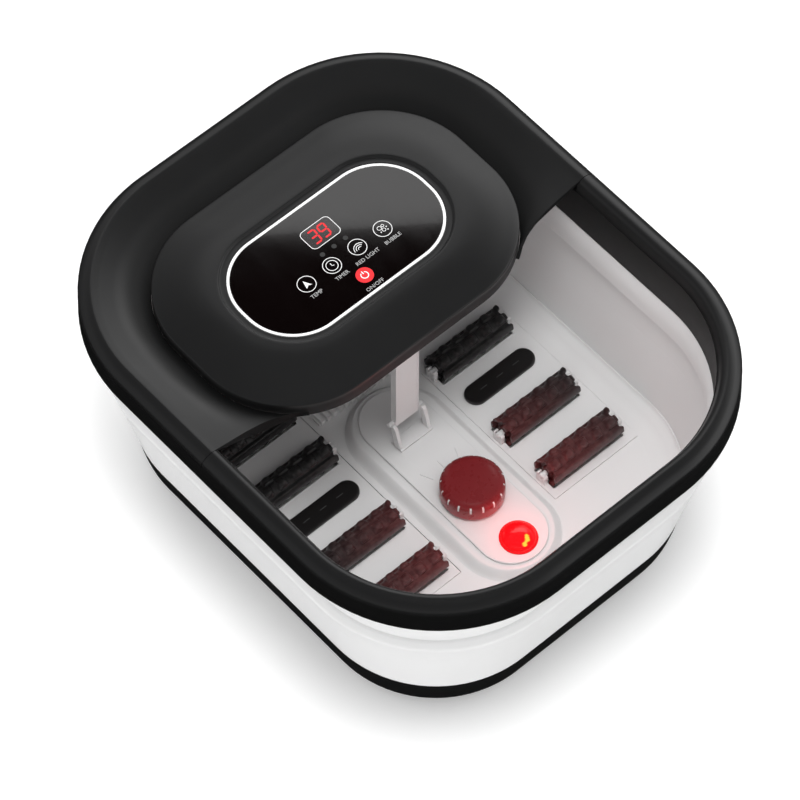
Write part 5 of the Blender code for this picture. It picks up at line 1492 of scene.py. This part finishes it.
class ShapeTrays(bpy.types.Operator):
    """Makes the trays, with a window for each roller and notched posts for its axle, and the axles and
    strips"""

    bl_idname = "spa.trays"
    bl_label = "Roller trays"

    def execute(self, context):
        for name, side in SIDES.items():
            low, high = span(f"tray_{name}")
            surface = Surface()
            rollers = roller_spans(name)
            self.plate(surface, low, high, rollers)
            for roller in rollers:
                self.posts(surface, side, roller)
            piece(
                f"tray_plate_{name}",
                surface,
                LOOKS["white_plastic"],
                "base",
                [f"tray_{name}"],
                bevel=0.3 * MM,
            )
            self.strip(name)
            for row in range(ROWS):
                self.axle(name, row)
        return {"FINISHED"}

    def plate(self, surface, low, high, rollers):
        """A plate with a rectangular window round each roller."""
        margin = 0.5 * MM
        thick = 2.4 * MM
        window_x = (rollers[0][0][0] - margin, rollers[0][1][0] + margin)
        xs = np.array(sorted([low[0], high[0], *window_x]))
        edges = []
        for bottom, top in rollers:
            centre = (bottom + top) / 2
            radius = (top[2] - bottom[2]) / 2
            reach = math.sqrt(radius**2 - (centre[2] - FLOOR) ** 2) + 0.8 * MM
            edges += [centre[1] - reach, centre[1] + reach]
        ys = np.array(sorted([low[1], high[1], *edges]))
        grid_y, grid_x = np.meshgrid(ys, xs, indexing="ij")
        solid = np.ones((len(ys) - 1, len(xs) - 1), bool)
        solid[1::2, 1] = False
        top = np.stack([grid_x, grid_y, np.full_like(grid_x, FLOOR)], axis=-1)
        surface.pierced(top, top - (0.0, 0.0, thick), solid)

    def posts(self, surface, side, roller):
        """Two posts with round shoulders, each with a notch that the axle drops into."""
        centre = (roller[0] + roller[1]) / 2
        y, z = centre[1], centre[2]
        half, top, slot = 4.3 * MM, z + 2.7 * MM, 2.25 * MM
        turn = np.linspace(0.0, TURN / 2, 9)
        notch = np.stack([y + slot * np.cos(turn), z - slot * np.sin(turn)], axis=1)
        outline = np.array([
            (y + half, FLOOR - 1 * MM), (y + half, top - 1.4 * MM), (y + half - 1.4 * MM, top),
            (y + slot, top),
        ])
        outline = np.concatenate([outline, notch, [(y - slot, top), (y - half + 1.4 * MM, top)]])
        outline = np.concatenate([outline, [(y - half, top - 1.4 * MM), (y - half, FLOOR - 1 * MM)]])
        near, far = (roller[0][0], roller[1][0]) if side > 0 else (-roller[1][0], -roller[0][0])
        for x in (near - 0.7 * MM - 3.4 * MM, far + 0.7 * MM):
            ends = sorted((side * x, side * (x + 3.4 * MM)))
            surface.extruded(outline, *ends)

    def strip(self, name):
        """A black pill-shaped magnet strip with a few raised marks."""
        low, high = span(f"magnet_strip_{name}")
        middle, half = (low + high) / 2, (high - low) / 2
        plan = Plan(half[0], half[1], half[1] - 0.05 * MM, middle[:2], arc=14)
        surface = Surface()
        top = high[2]
        edge = [(0.0, low[2] + 0.4 * MM), (0.0, top - 1.6 * MM), (0.4 * MM, top - 0.5 * MM)]
        edge += [(1.6 * MM, top), (3.2 * MM, top)]
        profile = np.concatenate([[(0.4 * MM, low[2])], smooth(np.array(edge), 4)])
        surface.loft(plan.rows(profile[:, 0], profile[:, 1]))
        marks = Surface()
        count = settings("floor").strip_marks
        for mark in range(count):
            place = np.array([middle[0] + (mark - (count - 1) / 2) * 15 * MM, middle[1], top])
            reach = np.array([3, 0.35, 0]) * MM
            marks.block(
                place - reach - (0, 0, 0.2 * MM), place + reach + (0, 0, 0.12 * MM), 0.1 * MM, arc=2
            )
        piece(f"strip_marks_{name}", marks, LOOKS["dark_grey"], "base")
        piece(
            f"strip_{name}",
            surface,
            LOOKS["strip_black"],
            "base",
            [f"magnet_strip_{name}"],
        )

    def axle(self, name, row):
        """A white axle with rounded ends."""
        node = f"axle_{name}_{row + 1}"
        low, high = span(node)
        middle = (low + high) / 2
        half = (high[0] - low[0]) / 2
        radius = (high[2] - low[2]) / 2
        profile = [
            (0, -half), (radius - 0.5 * MM, -half), (radius, -half + 0.5 * MM), (radius, half - 0.5 * MM)
        ]
        profile += [(radius - 0.5 * MM, half), (0, half)]
        surface = Surface().turned(profile, middle, steps=24, axis="X")
        piece(f"white_{node}", surface, LOOKS["white_plastic"], "base", [node])


class ShapeRollers(bpy.types.Operator):
    """Makes the eight massage rollers, with staggered pads and nubs and toothed ends"""

    bl_idname = "spa.rollers"
    bl_label = "Rollers"

    def execute(self, context):
        for name in SIDES:
            for row, (low, high) in enumerate(roller_spans(name)):
                surface = Surface().loft(self.grid(low, high), ring=True)
                node = f"roller_{name}_{row + 1}"
                piece(
                    f"massage_{node}",
                    surface,
                    LOOKS["roller_black"],
                    node,
                    [node],
                    sharp=50,
                )
        return {"FINISHED"}

    def grid(self, low, high):
        """The radius is the core's, plus a rib where the turn is near a rib's middle. Two ribs of three
        are cut into pads with a nub on each, staggered, and the third is plain. The end rows are pulled
        in between the ribs, which leaves teeth, and then close on the bore."""
        sizes = settings("floor")
        ribs, pads = 6, 5
        middle, half = (low + high) / 2, (high - low) / 2
        radius = half[2]
        core = radius - sizes.pad_rise - sizes.nub_rise
        across = np.linspace(-1.0, 1.0, 130)[:, None]
        angle = np.linspace(0.0, TURN, 120, endpoint=False)[None, :]
        turn = ((angle + sizes.roller_turn) / TURN * ribs) % ribs
        rib = np.floor(turn)
        around = turn - rib - 0.5
        nubbed = (rib % 3 != 0).astype(float)
        along = ((across + 1) / 2 * pads + 0.5 * (rib % 3 == 1)) % 1.0 - 0.5
        row_of_pads = plateau(along, 0.30, 0.1)
        pad = plateau(around, 0.40, 0.1) * (1 - nubbed * (1 - row_of_pads))
        pitch = 2 * half[0] / pads
        arc = TURN * radius / ribs
        squared = ((around * arc) ** 2 + (along * pitch) ** 2) / (3.4 * MM) ** 2
        nub = nubbed * np.sqrt(np.maximum(1 - squared, 0.0)) + (1 - nubbed) * plateau(
            around, 0.34, 0.2
        ) * 0.62
        reach = core + sizes.pad_rise * pad + sizes.nub_rise * nub
        tooth = plateau(around, 0.3, 0.1)
        pull = 2.4 * MM * (1 - tooth) * smoothstep((np.abs(across) - 0.9) / 0.1)
        x = half[0] * across - np.sign(across) * pull
        body = np.stack([x + 0 * angle, reach * np.cos(angle), reach * np.sin(angle)], axis=-1)
        bore = 2.3 * MM

        def disc(end, size, inward):
            """A ring of one radius near an end of the roller."""
            place = np.full(angle.shape, end * (half[0] - inward))
            return np.stack([place, size * np.cos(angle), size * np.sin(angle)], axis=-1)

        shoulder = core - 1.2 * MM
        face = [(bore, 1.0 * MM), (4.2 * MM, 1.0 * MM), (4.6 * MM, 3.4 * MM), (shoulder, 3.4 * MM)]
        first = [disc(-1, size, inward) for size, inward in face]
        last = [disc(1, size, inward) for size, inward in face[::-1]]
        pulled = (1.0, shoulder / core, shoulder / core)
        grid = np.concatenate(first + [body[:1] * pulled, body, body[-1:] * pulled] + last)
        return grid + middle


class ShapeHerbBox(bpy.types.Operator):
    """Makes the herb basket and its fluted, slotted cap, whose red is the lamp's glow painted on black"""

    bl_idname = "spa.herb_box"
    bl_label = "Herb box"

    def execute(self, context):
        self.basket()
        self.cap()
        return {"FINISHED"}

    def basket(self):
        """A white basket whose side is pierced by upright slots."""
        wide = (BASKET_HIGH[0] - BASKET_LOW[0]) / 2
        body = 16.5 * MM
        wall = 1.6 * MM
        low, high = BASKET_LOW[2], BASKET_HIGH[2]
        slots = 16
        angle = np.sort(
            np.concatenate([
                (np.arange(slots) + shift) * TURN / slots
                for shift in (0.0, 0.16, 0.34, 0.5, 0.66, 0.84)
            ])
        )
        heights = np.array(
            [low + 2 * MM, low + 3.5 * MM, low + 11 * MM, low + 13 * MM, high - 0.4 * MM, high]
        )
        profile = np.array([body] * 4 + [body, body - 0.3 * MM])
        outer = turned_rows(profile, heights, angle)
        inner = turned_rows(profile - wall, heights, angle)
        solid = np.ones((len(heights) - 1, len(angle)), bool)
        solid[1, 2::6] = False
        place = np.array([0.0, HERB_Y, 0.0])
        surface = Surface().pierced(outer + place, inner + place, solid, closed=True)
        floor = [(0, low), (body - 0.8 * MM, low), (body, low + 0.8 * MM), (body, low + 2.01 * MM)]
        surface.turned(floor + [(0, low + 2.01 * MM)], place)
        rim_z = PLATE_HIGH[2] + GAP
        flange = [
            (body - 0.1 * MM, rim_z), (wide - 0.4 * MM, rim_z), (wide, rim_z + 0.4 * MM),
            (wide, rim_z + 1.1 * MM),
        ]
        flange += [(wide - 0.4 * MM, rim_z + 1.5 * MM), (body - 0.1 * MM, rim_z + 1.5 * MM)]
        flange = np.array(flange)
        turn = np.linspace(0.0, TURN, 60, endpoint=False)
        surface.loft(turned_rows(*flange.T, turn) + place, ring=True)
        piece("basket", surface, LOOKS["white_plastic"], "herb_basket", ["herb_basket"])

    def cap(self):
        """A turned shell with a rounded top edge. Each slot runs up the side into that edge, and is closed
        by a white web just inside, a painted highlight standing in for the glint in the slot."""
        flutes = settings("floor").flutes
        radius = (CAP_HIGH[0] - CAP_LOW[0]) / 2
        low, top = CAP_LOW[2], CAP_HIGH[2]
        wall = 1.5 * MM
        shares = np.array([0.0, 0.085, 0.15, 0.25, 0.36, 0.5, 0.64, 0.75, 0.85, 0.915])
        angle = ((np.arange(flutes)[:, None] + shares) / flutes * TURN).reshape(-1)
        outer = np.array([
            (radius - 0.2 * MM, low), (radius, low + 0.5 * MM), (radius, low + 2.4 * MM),
            (radius, low + 3.2 * MM), (radius - 0.02 * MM, low + 6.0 * MM),
            (radius - 0.05 * MM, low + 7.0 * MM), (radius - 0.2 * MM, top - 3.9 * MM),
            (radius - 0.7 * MM, top - 3.0 * MM), (radius - 1.6 * MM, top - 2.0 * MM),
            (radius - 2.8 * MM, top - 1.1 * MM), (radius - 4.0 * MM, top - 0.5 * MM),
            (radius - 5.2 * MM, top - 0.22 * MM), (radius - 9 * MM, top - 0.1 * MM),
            (radius - 15 * MM, top), (0.6 * MM, top),
        ])
        inner = outer - (0.0, wall)
        inner[:, 0] = np.maximum(np.minimum(outer[:, 0], radius - 0.5 * MM) - wall, 0.5 * MM)
        inner[:2, 1] = outer[:2, 1]
        inner[2:7, 1] = outer[2:7, 1]
        place = np.array([0.0, HERB_Y, 0.0])
        skins = [turned_rows(*profile.T, angle) + place for profile in (outer, inner)]
        solid = np.ones((len(outer) - 1, len(angle)), bool)
        share = np.tile(shares, flutes)
        slot = (share < 0.05) | (share > 0.9)
        solid[5:8, slot] = False
        surface = Surface().pierced(*skins, solid, closed=True)
        plug = [(0, top - wall), (0.7 * MM, top - wall), (0.7 * MM, top - 0.02 * MM), (0, top - 0.02 * MM)]
        surface.turned(plug, place, steps=16)
        piece("red_cap", surface, LOOKS["herb_cap"], "herb_cap", ["herb_cap"], sharp=40)
        # Painted highlight: white webs sunk in the slots stand in for glints.
        sunk = skins[0] + (skins[1] - skins[0]) * 0.18
        pale = Surface().pierced(sunk, skins[1], ~solid, closed=True)
        piece("cap_slots", pale, LOOKS["white_plastic"], "herb_cap")


class ShapeLens(bpy.types.Operator):
    """Makes the red lamp lens: a low dome in a thin stepped edge"""

    bl_idname = "spa.lens"
    bl_label = "Lamp lens"

    def execute(self, context):
        radius = (LENS_HIGH[0] - LENS_LOW[0]) / 2
        low, top = PLATE_HIGH[2] + GAP, LENS_HIGH[2]
        rise = top - low - 0.8 * MM
        angle = np.linspace(0.0, TURN / 4, 14)
        dome = np.stack(
            [(radius - 1.2 * MM) * np.sin(angle), low + 0.8 * MM + rise * np.cos(angle)], axis=1
        )
        edge = [
            (radius - 1.0 * MM, low + 0.75 * MM), (radius - 0.3 * MM, low + 0.7 * MM),
            (radius, low + 0.4 * MM),
        ]
        edge += [(radius, low), (11 * MM, low), (11 * MM, LENS_LOW[2]), (0.0, LENS_LOW[2])]
        profile = np.concatenate([dome, edge])
        surface = Surface().turned(profile, (0.0, LENS_Y, 0.0), steps=72)
        piece("lamp_lens", surface, LOOKS["lens"], "base", ["red_lens"])
        return {"FINISHED"}


class ShapeStrut(bpy.types.Operator):
    """Makes the prop strut: a ribbed channel with a barrel above, stubs below, and the bracket that it
    stands in"""

    bl_idname = "spa.strut"
    bl_label = "Prop strut"

    def execute(self, context):
        low, high = span("strut")
        pin_low, pin_high = span("hinge_pin")
        pivot = (pin_low + pin_high) / 2
        half = 10.5 * MM
        y = pivot[1]
        depth = 4.6 * MM
        front, back = y - depth / 2, y + depth / 2
        knee = low[2] + 3.4 * MM
        shoulder = pivot[2] - 5.7 * MM
        surface = Surface()
        wall, neck = 2 * MM, 8.2 * MM
        channel = [
            (-half, front), (half, front), (half, back), (half - wall, back), (half - wall, front + wall)
        ]
        channel += [(4.4 * MM, front + wall), (4.0 * MM, front + 2.8 * MM), (3.2 * MM, front + 2.8 * MM)]
        channel += [(2.8 * MM, front + wall)]
        channel += [(-x, y) for x, y in channel[:1:-1]]
        surface.extruded(channel, low[2] + 0.1 * MM, shoulder, axis="Z")
        inset = 0.15 * MM
        surface.block(
            (-half + inset, front + inset, low[2] + 0.1 * MM),
            (half - inset, back - inset, knee + 6 * MM), 0.5 * MM,
        )
        surface.block(
            (-half + inset, front + inset, shoulder - 5 * MM),
            (half - inset, back - inset, shoulder - 0.1 * MM), 0.5 * MM,
        )
        surface.block(
            (-neck, front + 0.8 * MM, shoulder - 1 * MM), (neck, back - 0.8 * MM, pivot[2]), 0.3 * MM
        )
        for sign in (-1, 1):
            edge = sign * (half - 0.6 * MM)
            surface.block(
                (edge - 0.6 * MM, front - 0.5 * MM, knee + 3 * MM),
                (edge + 0.6 * MM, front + 0.5 * MM, shoulder - 2 * MM), 0.3 * MM,
            )
        barrel = 3.2 * MM
        bore = 1.75 * MM
        ends = np.array([
            (bore, -neck), (barrel - 0.4 * MM, -neck), (barrel, -neck + 0.4 * MM),
            (barrel, neck - 0.4 * MM),
        ])
        ends = np.concatenate([ends, [(barrel - 0.4 * MM, neck), (bore, neck)]])
        angle = np.linspace(0.0, TURN, 32, endpoint=False)
        ring = np.roll(turned_rows(*ends.T, angle), 1, axis=2)
        surface.loft(ring + (0.0, y, pivot[2]), ring=True)
        reach = high[0]
        stub = [(0, -reach), (1.6 * MM, -reach), (2 * MM, -reach + 0.4 * MM)]
        stub += [(radius, -along) for radius, along in stub[::-1]]
        surface.turned(stub, (0.0, y, knee), steps=24, axis="X")
        piece("prop_strut", surface, LOOKS["white_plastic"], "strut", ["strut"])
        self.ribbon()
        self.bracket(y, knee)
        return {"FINISHED"}

    def ribbon(self):
        """The flat lead in the strut's channel: eight round strands side by side."""
        low, high = span("strut_ribbon")
        strands = 8
        pitch = (high[0] - low[0]) / strands
        surface = Surface()
        turn = np.linspace(0.0, TURN, 12, endpoint=False)
        for strand in range(strands):
            x = low[0] + (strand + 0.5) * pitch
            middle = (low[1] + high[1]) / 2
            outline = np.stack(
                [x + 0.5 * pitch * np.cos(turn), middle + (high[1] - low[1]) / 2 * np.sin(turn)], axis=1
            )
            surface.extruded(outline, low[2], high[2], axis="Z")
        piece("flat_lead", surface, LOOKS["ribbon_grey"], "strut", ["strut_ribbon"])

    def bracket(self, y, knee):
        """A low foot with two short legs that lean back up to the stubs."""
        low, high = span("strut_bracket")
        foot = low[2]
        surface = Surface()
        surface.block((low[0], low[1], foot), (high[0], y - 2 * MM, foot + 1.8 * MM), 0.5 * MM)
        back = y - 2.6 * MM
        outline = [
            (back, knee + 1.4 * MM), (back, knee - 4 * MM), (y - 6 * MM, foot + 0.5 * MM),
            (y - 12 * MM, foot + 0.5 * MM), (back - 4.3 * MM, knee - 1 * MM),
            (back - 3.6 * MM, knee + 0.8 * MM), (back - 2.2 * MM, knee + 2 * MM),
            (back - 0.7 * MM, knee + 2 * MM),
        ]
        for sign in (-1, 1):
            ends = sorted((sign * high[0], sign * (high[0] - 3 * MM)))
            surface.extruded(outline, *ends)
        piece(
            "strut_foot",
            surface,
            LOOKS["white_plastic"],
            "base",
            ["strut_bracket"],
            bevel=0.35 * MM,
        )


# ---------------------------------------------------------------- works that keep their own solids

KEPT = {  # nodes of the frame that stay as they are, with their finishes
    "hood_tray": "black_satin",
    "hinge_pin": "steel",
    "display_module": "grey_plastic",
    "control_board": "board",
    "heater_plate": "steel",
    "thermostat": "brown_plastic",
    "lamp_board": "board",
    "air_pump": "grey_plastic",
    "air_tube": "clear_tube",
    "power_board": "board",
}


class FinishWorks(bpy.types.Operator):
    """Paints the boards, pump, heater, hood tray and pin, whose own solids show"""

    bl_idname = "spa.works"
    bl_label = "Works"

    def execute(self, context):
        for node, look in KEPT.items():
            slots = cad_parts[node].material_slots
            if not slots:
                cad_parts[node].data.materials.append(LOOKS[look])
            for slot in slots:
                slot.material = LOOKS[look]
        return {"FINISHED"}


# ---------------------------------------------------------------- studio


class BuildStudio(bpy.types.Operator):
    """Makes the pale floor, the soft lights and the camera"""

    bl_idname = "spa.studio"
    bl_label = "Studio"

    def execute(self, context):
        sizes = settings("studio")
        self.floor(sizes)
        self.sky(sizes)
        self.lights(sizes)
        self.camera(sizes)
        return {"FINISHED"}

    def floor(self, sizes):
        """A large flat sheet of pale card."""
        half = sizes.floor_size / 2
        mesh = bpy.data.meshes.new("studio_floor")
        corners = np.array([(-1, -1), (1, -1), (1, 1), (-1, 1)]) * half
        mesh.from_pydata(on_level(corners, -0.3 * MM).tolist(), [], [(0, 1, 2, 3)])
        look = Look("studio_card", Roughness=0.9, Specular_IOR_Level=0.0, Emission_Strength=sizes.lift)
        paper = look.noise(60 * MM, 3.0)
        look.feed(Base_Color=look.mix(paper, (0.94, 0.94, 0.94), (0.96, 0.96, 0.96)))
        mesh.materials.append(look.material)
        obj = bpy.data.objects.new("studio_floor", mesh)
        bpy.context.scene.collection.objects.link(obj)
        obj.visible_glossy = False

    def sky(self, sizes):
        """Even light from all round for matt surfaces. Glossy ones see a band of light between a dim
        zenith and a dark horizon, stronger on the right."""
        world = bpy.data.worlds.new("studio")
        bpy.context.scene.world = world
        world.use_nodes = True
        tree = world.node_tree

        def node(kind, inputs, **settings):
            """Adds a node to the world and gives its outputs."""
            made = tree.nodes.new(kind)
            for key, value in settings.items():
                setattr(made, key, value)
            for key, value in inputs.items():
                if isinstance(value, bpy.types.NodeSocket):
                    tree.links.new(value, made.inputs[key])
                else:
                    made.inputs[key].default_value = value
            return made.outputs

        def ramp(value, low, high, start, end):
            """Runs smoothly from start to end while a value goes from low to high."""
            values = {"Value": value, "From Min": low, "From Max": high, "To Min": start, "To Max": end}
            return node("ShaderNodeMapRange", values, interpolation_type="SMOOTHSTEP")[0]

        direction = node("ShaderNodeTexCoord", {})["Generated"]
        right, _, up = node("ShaderNodeSeparateXYZ", {0: direction})
        rising = ramp(up, 0.0, 0.35, 0.02, 1.7)
        falling = ramp(up, 0.5, 0.8, 1.0, 0.02)
        sideways = ramp(right, 0.1, 0.75, 0.18, 1.0)
        band = node("ShaderNodeMath", {0: rising, 1: falling}, operation="MULTIPLY")[0]
        band = node("ShaderNodeMath", {0: band, 1: sideways}, operation="MULTIPLY")[0]
        glossy = node("ShaderNodeLightPath", {})["Is Glossy Ray"]
        colours = {"Factor": glossy, 6: (sizes.sky, sizes.sky, sizes.sky, 1.0), 7: band}
        colour = node("ShaderNodeMix", colours, data_type="RGBA")[2]
        tree.links.new(colour, tree.nodes["Background"].inputs["Color"])

    def lights(self, sizes):
        """Soft lights behind and in front, one straight above the tub, a card whose edge shows in the
        panel, and the lamp's glow."""
        self.card("key", (0.5, 1.9, 2.3), (0.0, 0.0, 0.1), (1.6, 1.2), 9.0)
        self.card("fill", (-2.2, -1.6, 1.4), (0.0, 0.0, 0.1), (1.4, 1.4), 11.0)
        self.card("tub", (-0.1, -0.25, 2.2), (0.0, -0.05, 0.0), (0.8, 0.8), 1.7, spread=math.radians(50))
        edge = np.array([(0.625, 0.92), (0.772, 0.81)])
        along = (edge[1] - edge[0]) / np.linalg.norm(edge[1] - edge[0])
        away = np.array([-along[1], along[0]])
        middle = edge.mean(axis=0)
        reach = [(-0.6, 0.0), (0.6, 0.0), (0.6, 0.45), (-0.6, 0.45)]
        corners = [middle + across * along + out * away for across, out in reach]
        mesh = bpy.data.meshes.new("mirror_card")
        mesh.from_pydata([(x, y, 1.7) for x, y in corners], [], [(0, 1, 2, 3)])
        look = Look("mirror_card", Base_Color=(0.0, 0.0, 0.0, 1.0), Emission_Strength=sizes.mirror)
        mesh.materials.append(look.material)
        card = bpy.data.objects.new("mirror_card", mesh)
        bpy.context.scene.collection.objects.link(card)
        card.visible_camera = card.visible_diffuse = card.visible_shadow = False
        glow = bpy.data.lights.new("lamp_glow", "POINT")
        glow.color = tuple(settings("finish").glow)
        glow.energy = 0.022
        glow.shadow_soft_size = 16 * MM
        lamp = bpy.data.objects.new("lamp_glow", glow)
        lamp.location = (0.0, LENS_Y, LENS_HIGH[2] + 14 * MM)
        bpy.context.scene.collection.objects.link(lamp)

    def card(self, name, place, target, size, power, spread=math.pi):
        """A rectangular light that faces a point, and that glossy surfaces don't mirror."""
        light = bpy.data.lights.new(name, "AREA")
        light.shape = "RECTANGLE"
        light.size, light.size_y = size
        light.energy = power
        light.spread = spread
        obj = bpy.data.objects.new(name, light)
        obj.location = place
        aim = (Vector(target) - Vector(place)).to_track_quat("-Z", "Y")
        obj.rotation_euler = aim.to_euler()
        obj.visible_glossy = False
        bpy.context.scene.collection.objects.link(obj)

    def camera(self, sizes):
        """A long lens that looks down from the front left."""
        data = bpy.data.cameras.new("camera")
        data.lens = sizes.lens
        data.sensor_width = 36.0
        data.clip_end = 50.0
        obj = bpy.data.objects.new("camera", data)
        place, target = Vector(sizes.camera), Vector(sizes.target)
        obj.location = place
        obj.rotation_euler = (target - place).to_track_quat("-Z", "Y").to_euler()
        bpy.context.scene.collection.objects.link(obj)
        bpy.context.scene.camera = obj
        bpy.context.scene.view_settings.view_transform = "Standard"


class SpaPanel(bpy.types.Panel):
    """Lists the basin's pieces, and the sizes that they are made from"""

    bl_idname = "VIEW3D_PT_spa"
    bl_label = "Foot spa basin"
    bl_space_type = "VIEW_3D"
    bl_region_type = "UI"
    bl_category = "Foot spa"

    def draw(self, context):
        for operator in OPERATORS:
            self.layout.operator(operator.bl_idname)
        for group, kind in GROUPS.items():
            box = self.layout.box()
            for name in kind.__annotations__:
                box.prop(settings(group), name)


OPERATORS = (
    BuildStudio,
    ShapeRim,
    ShapeHood,
    ShapePod,
    ShapePanel,
    ShapeFolds,
    ShapeBase,
    ShapePan,
    ShapeTrays,
    ShapeRollers,
    ShapeHerbBox,
    ShapeLens,
    ShapeStrut,
    FinishWorks,
)


def register():
    for kind in (*GROUPS.values(), *OPERATORS, SpaPanel):
        bpy.utils.register_class(kind)
    for group, kind in GROUPS.items():
        setattr(bpy.types.Scene, f"spa_{group}", PointerProperty(type=kind))


def unregister():
    for group in GROUPS:
        delattr(bpy.types.Scene, f"spa_{group}")
    for kind in reversed((*GROUPS.values(), *OPERATORS, SpaPanel)):
        bpy.utils.unregister_class(kind)


def corners(box):
    """A box's two corners as plain lists of numbers."""
    return [[float(value) for value in corner] for corner in box]


def main():
    register()
    LOOKS.update(make_looks())
    for operator in OPERATORS:
        group, name = operator.bl_idname.split(".")
        getattr(getattr(bpy.ops, group), name)()


if __name__ == "__main__":
    main()
